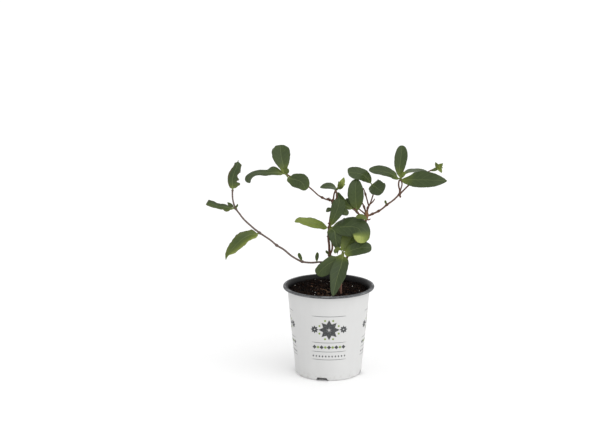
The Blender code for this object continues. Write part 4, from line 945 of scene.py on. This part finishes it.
# Leaves of the green shoot
make_leaf("leaf_green_a", [(17, -22, 160), (11.5, -24.5, 153.4), (2, -26.5, 148.7), (-7.5, -28, 141.6),
          (-14.5, -27, 133)], 18, ((-0.2, -0.9, 0.35), (-0.2, -0.95, 0.25), (-0.2, -0.95, 0.2)),
          "leaf_dark", rise=0.62, fall=0.4, clear=1.4, stalk_radius=1.0, bites=((1, 0.12, 0.2, 0.3), (1,
          0.62, 0.3, 0.22), (-1, 0.78, 0.25, -0.2)), young=(0.8, 0.25, 0.16, 0.2))
make_leaf("leaf_green_b", [(16.8, -22, 157), (16.7, -26.5, 154.3), (15.1, -35, 147.9), (11.4, -43,
          139.3), (7.9, -51, 128.6), (6.1, -56.5, 122.5), (4.4, -61.5, 115.6)], 21.8, ((0, -0.72, 0.68),
          (0, -0.8, 0.6), (0, -0.85, 0.5)), "leaf_mid", rise=0.5, fall=0.7, fold=0.2, clear=1.4,
          stalk_radius=1.2, bites=((-1, 0.33, 0.25, 0.13), (1, 0.76, 0.25, 0.2), (-1, 0.76, 0.25, 0.2)),
          young=(0.6, 0.08, 0, 0, 0, 0), across=(0.03,))
make_leaf("leaf_green_c", [(17, -22, 160), (21.5, -23, 160.4), (27.7, -24, 163.4), (35.6, -25.5, 166.4),
          (44.3, -26, 167.5), (52.5, -25, 166.9)], 18.3, ((0, -0.8, 0.6), (0.1, -0.8, 0.6)),
          "leaf_dark", rise=0.5, fall=0.42, fold=0.12, clear=1.2, stalk_radius=0.9, bites=((1, 0.06,
          0.1, -0.15),), young=(0.8, 0.14, 0.08, 0.1))
make_leaf("leaf_green_d", [(17, -22, 160), (19.5, -18.5, 163.5), (23.4, -15, 170.3), (28, -12.5, 176.8),
          (32.3, -12, 181.5)], 17, ((-0.3, -0.9, 0.3), (-0.3, -0.9, 0.3)), "leaf_mid", rise=0.42,
          fold=0.3, bites=((-1, 0.7, 0.45, -0.4),), clear=1.6, young=(0.7, 0.45, 0.35), across=(-0.12,),
          rim=0.1)
make_leaf("leaf_green_e", [(17, -22, 160), (14.6, -25, 164.9), (11.3, -27.5, 166.4), (8.7, -28, 164.9),
          (7, -28, 160.8)], 6, ((0, -0.6, 0.8), (0, -0.6, 0.8)), "leaf_mid", stalk=1.0,
          stalk_radius=0.8, ragged=0.02, clear=1.6, young=(0.6, 0.4), rows=24)

# Leaves of the twigs above the hub
make_leaf("leaf_hub_a", [(29.8, -3, 210.9), (26.1, -2.5, 212.5), (20.9, -1, 215.7), (15.9, 1, 220.5),
          (12.5, 2, 225.6), (10.5, 2.5, 231.3)], 9.4, ((-0.1, -0.95, 0.2), (-0.1, -0.95, 0.2)),
          "leaf_dark", rise=0.5, fall=0.45, clear=0.5, young=(0.4, 0.26, 0.22), rows=40)
make_leaf("leaf_hub_b", [(33.3, -2, 209), (31.5, 0, 212.6), (28.1, 3, 216.2), (24.4, 5, 219.2), (21.1,
          6, 222.4)], 8.6, ((0, -0.8, 0.6), (0, -0.8, 0.6)), "leaf_dark", rise=0.5, fall=0.5, stalk=1.5,
          clear=0.5, young=(0.3, 0.12), rows=40)
make_leaf("leaf_hub_c", [(35.2, 0.5, 207.1), (34.7, -1, 212), (33.7, -3, 218.9), (33.1, -4.5, 228.1),
          (32.7, -5, 237.1), (33.2, -3, 243.6), (34.2, 0, 248.9)], 20, ((-0.05, -0.95, 0.1), (-0.05,
          -0.95, 0.2), (-0.05, -0.9, 0.4)), "leaf_dark", rise=0.72, fall=0.62, stalk=1.6,
          stalk_radius=0.9, clear=0.5, young=(0.5, 0.24, 0.12, 0.08))
make_leaf("leaf_hub_d", [(53, 7, 240.5), (51, 6.5, 243.3), (47.1, 5.5, 248.7), (41.5, 4, 253.3), (33.4,
          2, 255.6), (27.1, 0.5, 256.4), (23.2, -1, 256.7)], 18, ((-0.4, -0.7, 0.5), (-0.15, -0.75, 0.65),
          (0, -0.75, 0.65)), "leaf_dark", rise=0.65, fall=0.33, fold=0.12, curl=-0.1, clear=0.8,
          young=(0.4, 0.1, 0.06))
make_leaf("leaf_hub_e", [(52.8, 7, 240.8), (54.4, 3, 240), (57.6, -5, 239.7), (62, -11, 237.4), (66.3,
          -15, 234.9)], 20.3, ((-0.25, -0.8, 0.5), (-0.3, -0.85, 0.45), (-0.3, -0.85, 0.4)),
          "leaf_dark", rise=0.36, fall=0.36, ragged=0.05, clear=1.0, bites=((-1, 0.2, 0.15, -0.1), (1,
          0.25, 0.25, 0.05), (1, 0.8, 0.25, 0.05), (-1, 0.9, 0.2, -0.3)), young=(0.35, 0.05, 0.03))

# Leaves of the whorl on the arm
make_leaf("leaf_arm_a", [(89, 12, 246), (88, 12, 254), (88.4, 13, 265.5), (89.9, 15, 276.5), (91.2,
          18.8, 287.3)], 16.2, ((0, -0.95, 0.1), (0, -0.95, 0.2), (0, -0.9, 0.4)), "leaf_dark",
          rise=0.75, fall=0.48, fold=0.2, clear=1.2, stalk_radius=0.9, young=(0.85, 0.2, 0.08, 0.1))
make_leaf("leaf_arm_b", [(89, 12, 246), (84.5, 9, 248), (78.2, 7, 252.8), (70.5, 4, 256.7), (61.7, 1,
          258.7), (54.2, -2, 259.5), (49, -4, 260.4)], 16.8, ((-0.15, -0.6, 0.8), (-0.15, -0.65, 0.75)),
          "leaf_dark", rise=0.72, fall=0.55, clear=1.2, stalk_radius=0.9, young=(0.65, 0.1, 0.04, 0.05))
make_leaf("leaf_arm_c", [(89, 12, 246), (94.5, 18, 251.1), (103, 29, 252.2), (113, 39, 250.4), (124, 46,
          249)], 14, ((0.1, -0.2, 0.98), (0.1, -0.15, 1)), "leaf_dark", rise=1.1, clear=1.2, stalk=3.0,
          stalk_radius=0.9, young=(0.7, 0.15, 0.1))
make_leaf("leaf_arm_d", [(89, 12, 246), (91.2, 7, 251.5), (94.5, 5, 256.5)], 5,
          ((-0.2, -0.9, 0.3), (-0.2, -0.9, 0.3)), "leaf_light", stalk=2.0, clear=1.8,
          young=(0.8, 0.7), rows=24)
make_leaf("leaf_arm_e", [(89, 12, 246), (93.2, 8, 245.8), (100.4, 4, 247), (110, -1, 247.8), (120.9, -4,
          248.4), (130.7, -6, 248.3), (139.3, -6, 247.9), (145.9, -5, 247.2)], 21.8, ((0.1, -0.8, 0.55),
          (0.1, -0.85, 0.5), (0.1, -0.85, 0.4)), "leaf_dark", rise=0.75, fall=0.85, fold=0.12,
          bites=((-1, 0.14, 0.12, 0.35),), clear=1.2, stalk=1.0, stalk_radius=0.9, young=(0.8, 0.14,
          0.07, 0.09))


# The young tips are where the plant is still growing: small pale leaves, still folded, in opposite
# pairs round a short green core. One is at the top fork and one at the end of the arm.
def make_shoot(node, core, *blades):
    """A young tip in place of its plain solid: its small leaves, and the core that they stand on."""
    points, skin, blade, shade = joined(blades)
    make_piece(node + "_blades", points, skin, LEAF, "leaf_light", [node], blade=blade, shade=shade)
    points, skin, bark, knot = twig(core, sides=12, step=0.3)
    make_piece(node + "_core", points, skin, BARK_GREEN, "shoot_green", bark=bark, knot=knot)


make_shoot(
    "shoot_top", [(9, -5, 236, 0.9), (10.6, -5.2, 238, 1.1), (12, -5.6, 240.4, 1.0), (13.2, -5.6, 243, 0.4)],
    leaf_shape([(9, -5, 236), (13.9, -6.2, 240.6), (16.8, -7, 246.1), (18.4, -5.5, 252.1)], 8.8, [(-0.4,
               -0.85, 0.3)] * 2, clear=2.6, stalk=0.5, fold=0.3, fall=0.85, rise=0.5, young=(0.65,
               0.85, 0.9), rows=30),
    leaf_shape([(9, -5, 236), (12.5, -4.5, 239.2), (11.3, -3, 246.5)], 3.6, [(0.5, -0.8, 0.2)] * 2,
               clear=1.0, stalk=0.6, fold=0.4, fall=0.9, young=(0.3, 0.2), rows=24),
    leaf_shape([(9, -5, 236), (14.7, -7.5, 239.5), (20.1, -8.8, 243.7)], 4.6, [(0, -0.5, 0.85)] * 2,
               clear=1.0, stalk=0.6, fold=0.3, fall=0.9, young=(0.3, 0.15), rows=24),
    leaf_shape([(11, -5.3, 239), (13.2, -7.5, 243), (14, -9, 247)], 3, [(-0.4, -0.9, -0.1)] * 2, clear=0.5,
               stalk=0.6, fold=0.4, fall=0.9, young=(0.75, 0.7), rows=24))
make_shoot(
    "shoot_arm", [(131, 31, 254.5, 0.9), (133.5, 31.4, 255.6, 1.0), (136.5, 31.6, 256.6, 1.1), (138, 31.6, 257.4, 0.4)],
    leaf_shape([(136.5, 31.5, 256.2), (135.5, 32.3, 258.6), (133.4, 33, 263.2)], 4.6, [(0, -0.9, 0.2)] * 2,
               clear=0, stalk=0.4, fold=0.3, rise=0.4, fall=0.9, young=(0.7, 0.6, 0.5), rows=24),
    leaf_shape([(136, 31, 256.2), (139.5, 30.5, 258.7), (142.9, 30, 262.4)], 6.2, [(-0.3, -0.9, 0.3)] * 2,
               clear=0, stalk=0.4, fold=0.3, rise=0.4, fall=0.9, young=(0.8, 0.75, 0.6), rows=24),
    leaf_shape([(136, 31, 256.8), (139.1, 29, 254.2), (141.5, 28, 250.3)], 5.8, [(0.2, -0.8, 0.5)] * 2,
               clear=0, stalk=0.4, fold=0.3, rise=0.4, fall=0.9, young=(0.75, 0.8, 0.7), rows=24),
    leaf_shape([(136, 31.5, 256.2), (140, 34, 256.2), (143.6, 36, 255)], 4.2, [(0, -0.6, 0.8)] * 2, clear=0,
               stalk=0.4, fold=0.3, rise=0.4, fall=0.9, young=(0.7, 0.55), rows=24),
    leaf_shape([(137, 31, 256.6), (132.9, 29, 254), (127.6, 28.5, 252.7)], 4.6, [(0, -0.7, 0.7)] * 2,
               clear=0, stalk=0.4, fold=0.3, rise=0.4, fall=0.9, young=(0.5, 0.3), rows=24),
    leaf_shape([(136.5, 31, 256.4), (138, 29, 258.4), (139, 28, 260.6)], 3, [(0.1, -0.9, 0.1)] * 2, clear=0,
               stalk=0.4, fold=0.45, rise=0.4, fall=0.9, young=(0.9, 0.8), rows=24))


# Side buds stand in the corners above old leaf scars: two narrow leaves, still folded together.
def make_bud(node, path, width, faces, clear, lean=1.0, **form):
    """A bud in place of its plain solid: its folded leaf, and a shorter one leaning the other way."""
    second = np.array(path, float) + np.linspace(0, 1, len(path))[:, None] ** 1.5 * (lean * 1.7, -0.8, -2.2)
    make_leaf(node, path, width, faces, "shoot_green",
              leaf_shape(second, width * 0.8, faces, fold=0.5, stalk=0.8, clear=clear, rows=20, **form),
              fold=0.5, stalk=1.0, clear=clear, rows=24, **form)


FRONT = ((0, -0.95, 0.1), (0, -0.95, 0.1))
make_bud("bud_low_a", [(-33.4, -18, 147.8), (-34.7, -18.4, 151.7), (-36.4, -18.6, 155.6), (-37.5, -18.6,
         159.2)], 4.4, FRONT, 1.2, young=(0.3, 0.25))
make_bud("bud_low_b", [(-14.9, -11.4, 145.3), (-14.8, -12, 150.9), (-14.2, -12.4, 158.4)], 4.4, FRONT,
          1.0, -0.8, young=(0.3, 0.2))
make_bud("bud_arm", [(72, 11, 213), (70.8, 10.6, 216.2), (70.2, 10.4, 219.4)], 2.8, FRONT, 1.0, 0.8,
         stalk_radius=0.7, young=(0.55, 0.45))
make_bud("bud_centre", [(1, -6, 153), (-1.4, -8.3, 156.5), (-3.8, -9.4, 160)], 3.2,
         ((-0.3, -0.8, 0.3), (-0.3, -0.8, 0.3)), 2.0, young=(0.4, 0.35))


# The studio: a pale floor that runs out of sight, even light from a white room, and a broad soft
# lamp far off on the right, which lights the floor evenly too. The camera looks down from far off.
CAMERA_DISTANCE = 2500.0
CAMERA_PITCH = 13.0
CAMERA_TARGET = Vector((-35.9, 0.0, 208.0))
CAMERA_LENS = 120.8
ROOM_LIGHT = 0.95
KEY_LIGHT = 1.1
KEY_SPREAD = 80.0
KEY_WAY = Vector((0.72, -0.72, 0.6))

key_data = bpy.data.lights.new("key_lamp", "SUN")
key_data.energy = KEY_LIGHT
key_data.angle = math.radians(KEY_SPREAD)
key_lamp = bpy.data.objects.new("key_lamp", key_data)
key_lamp.location = KEY_WAY
key_lamp.rotation_euler = KEY_WAY.to_track_quat("Z", "Y").to_euler()
bpy.context.scene.collection.objects.link(key_lamp)

world = bpy.data.worlds.new("white_room")
world.use_nodes = True
world.node_tree.nodes["Background"].inputs["Color"].default_value = (1.0, 1.0, 1.0, 1.0)
world.node_tree.nodes["Background"].inputs["Strength"].default_value = ROOM_LIGHT
bpy.context.scene.world = world
bpy.context.scene.view_settings.view_transform = "Standard"

floor_material, floor_shader, floor_start = new_material("floor_paper", 0.2)
floor_tone = floor_start.node("TexCoord", output=3).noise(3.0, 2.0)
feed(floor_shader, floor_tone.ramp((0.3, (0.955, 0.955, 0.955)), (0.7, (0.965, 0.965, 0.965))), 0.85 + floor_tone * 0.1)
floor_mesh = bpy.data.meshes.new("floor")
floor_mesh.from_pydata([(-8, -8, 0), (8, -8, 0), (8, 8, 0), (-8, 8, 0)], [], [(0, 1, 2, 3)])
floor_mesh.materials.append(floor_material)
floor = bpy.data.objects.new("floor", floor_mesh)
bpy.context.scene.collection.objects.link(floor)

camera_data = bpy.data.cameras.new("camera")
camera_data.lens = CAMERA_LENS
camera_data.sensor_width = 36.0
camera_data.clip_end = 100.0
camera = bpy.data.objects.new("camera", camera_data)
bpy.context.scene.collection.objects.link(camera)
pitch = math.radians(CAMERA_PITCH)
back = Vector((0.0, -math.cos(pitch), math.sin(pitch)))
camera.location = (CAMERA_TARGET + back * CAMERA_DISTANCE) * MM
camera.rotation_euler = (-back).to_track_quat("-Z", "Y").to_euler()
bpy.context.scene.camera = camera
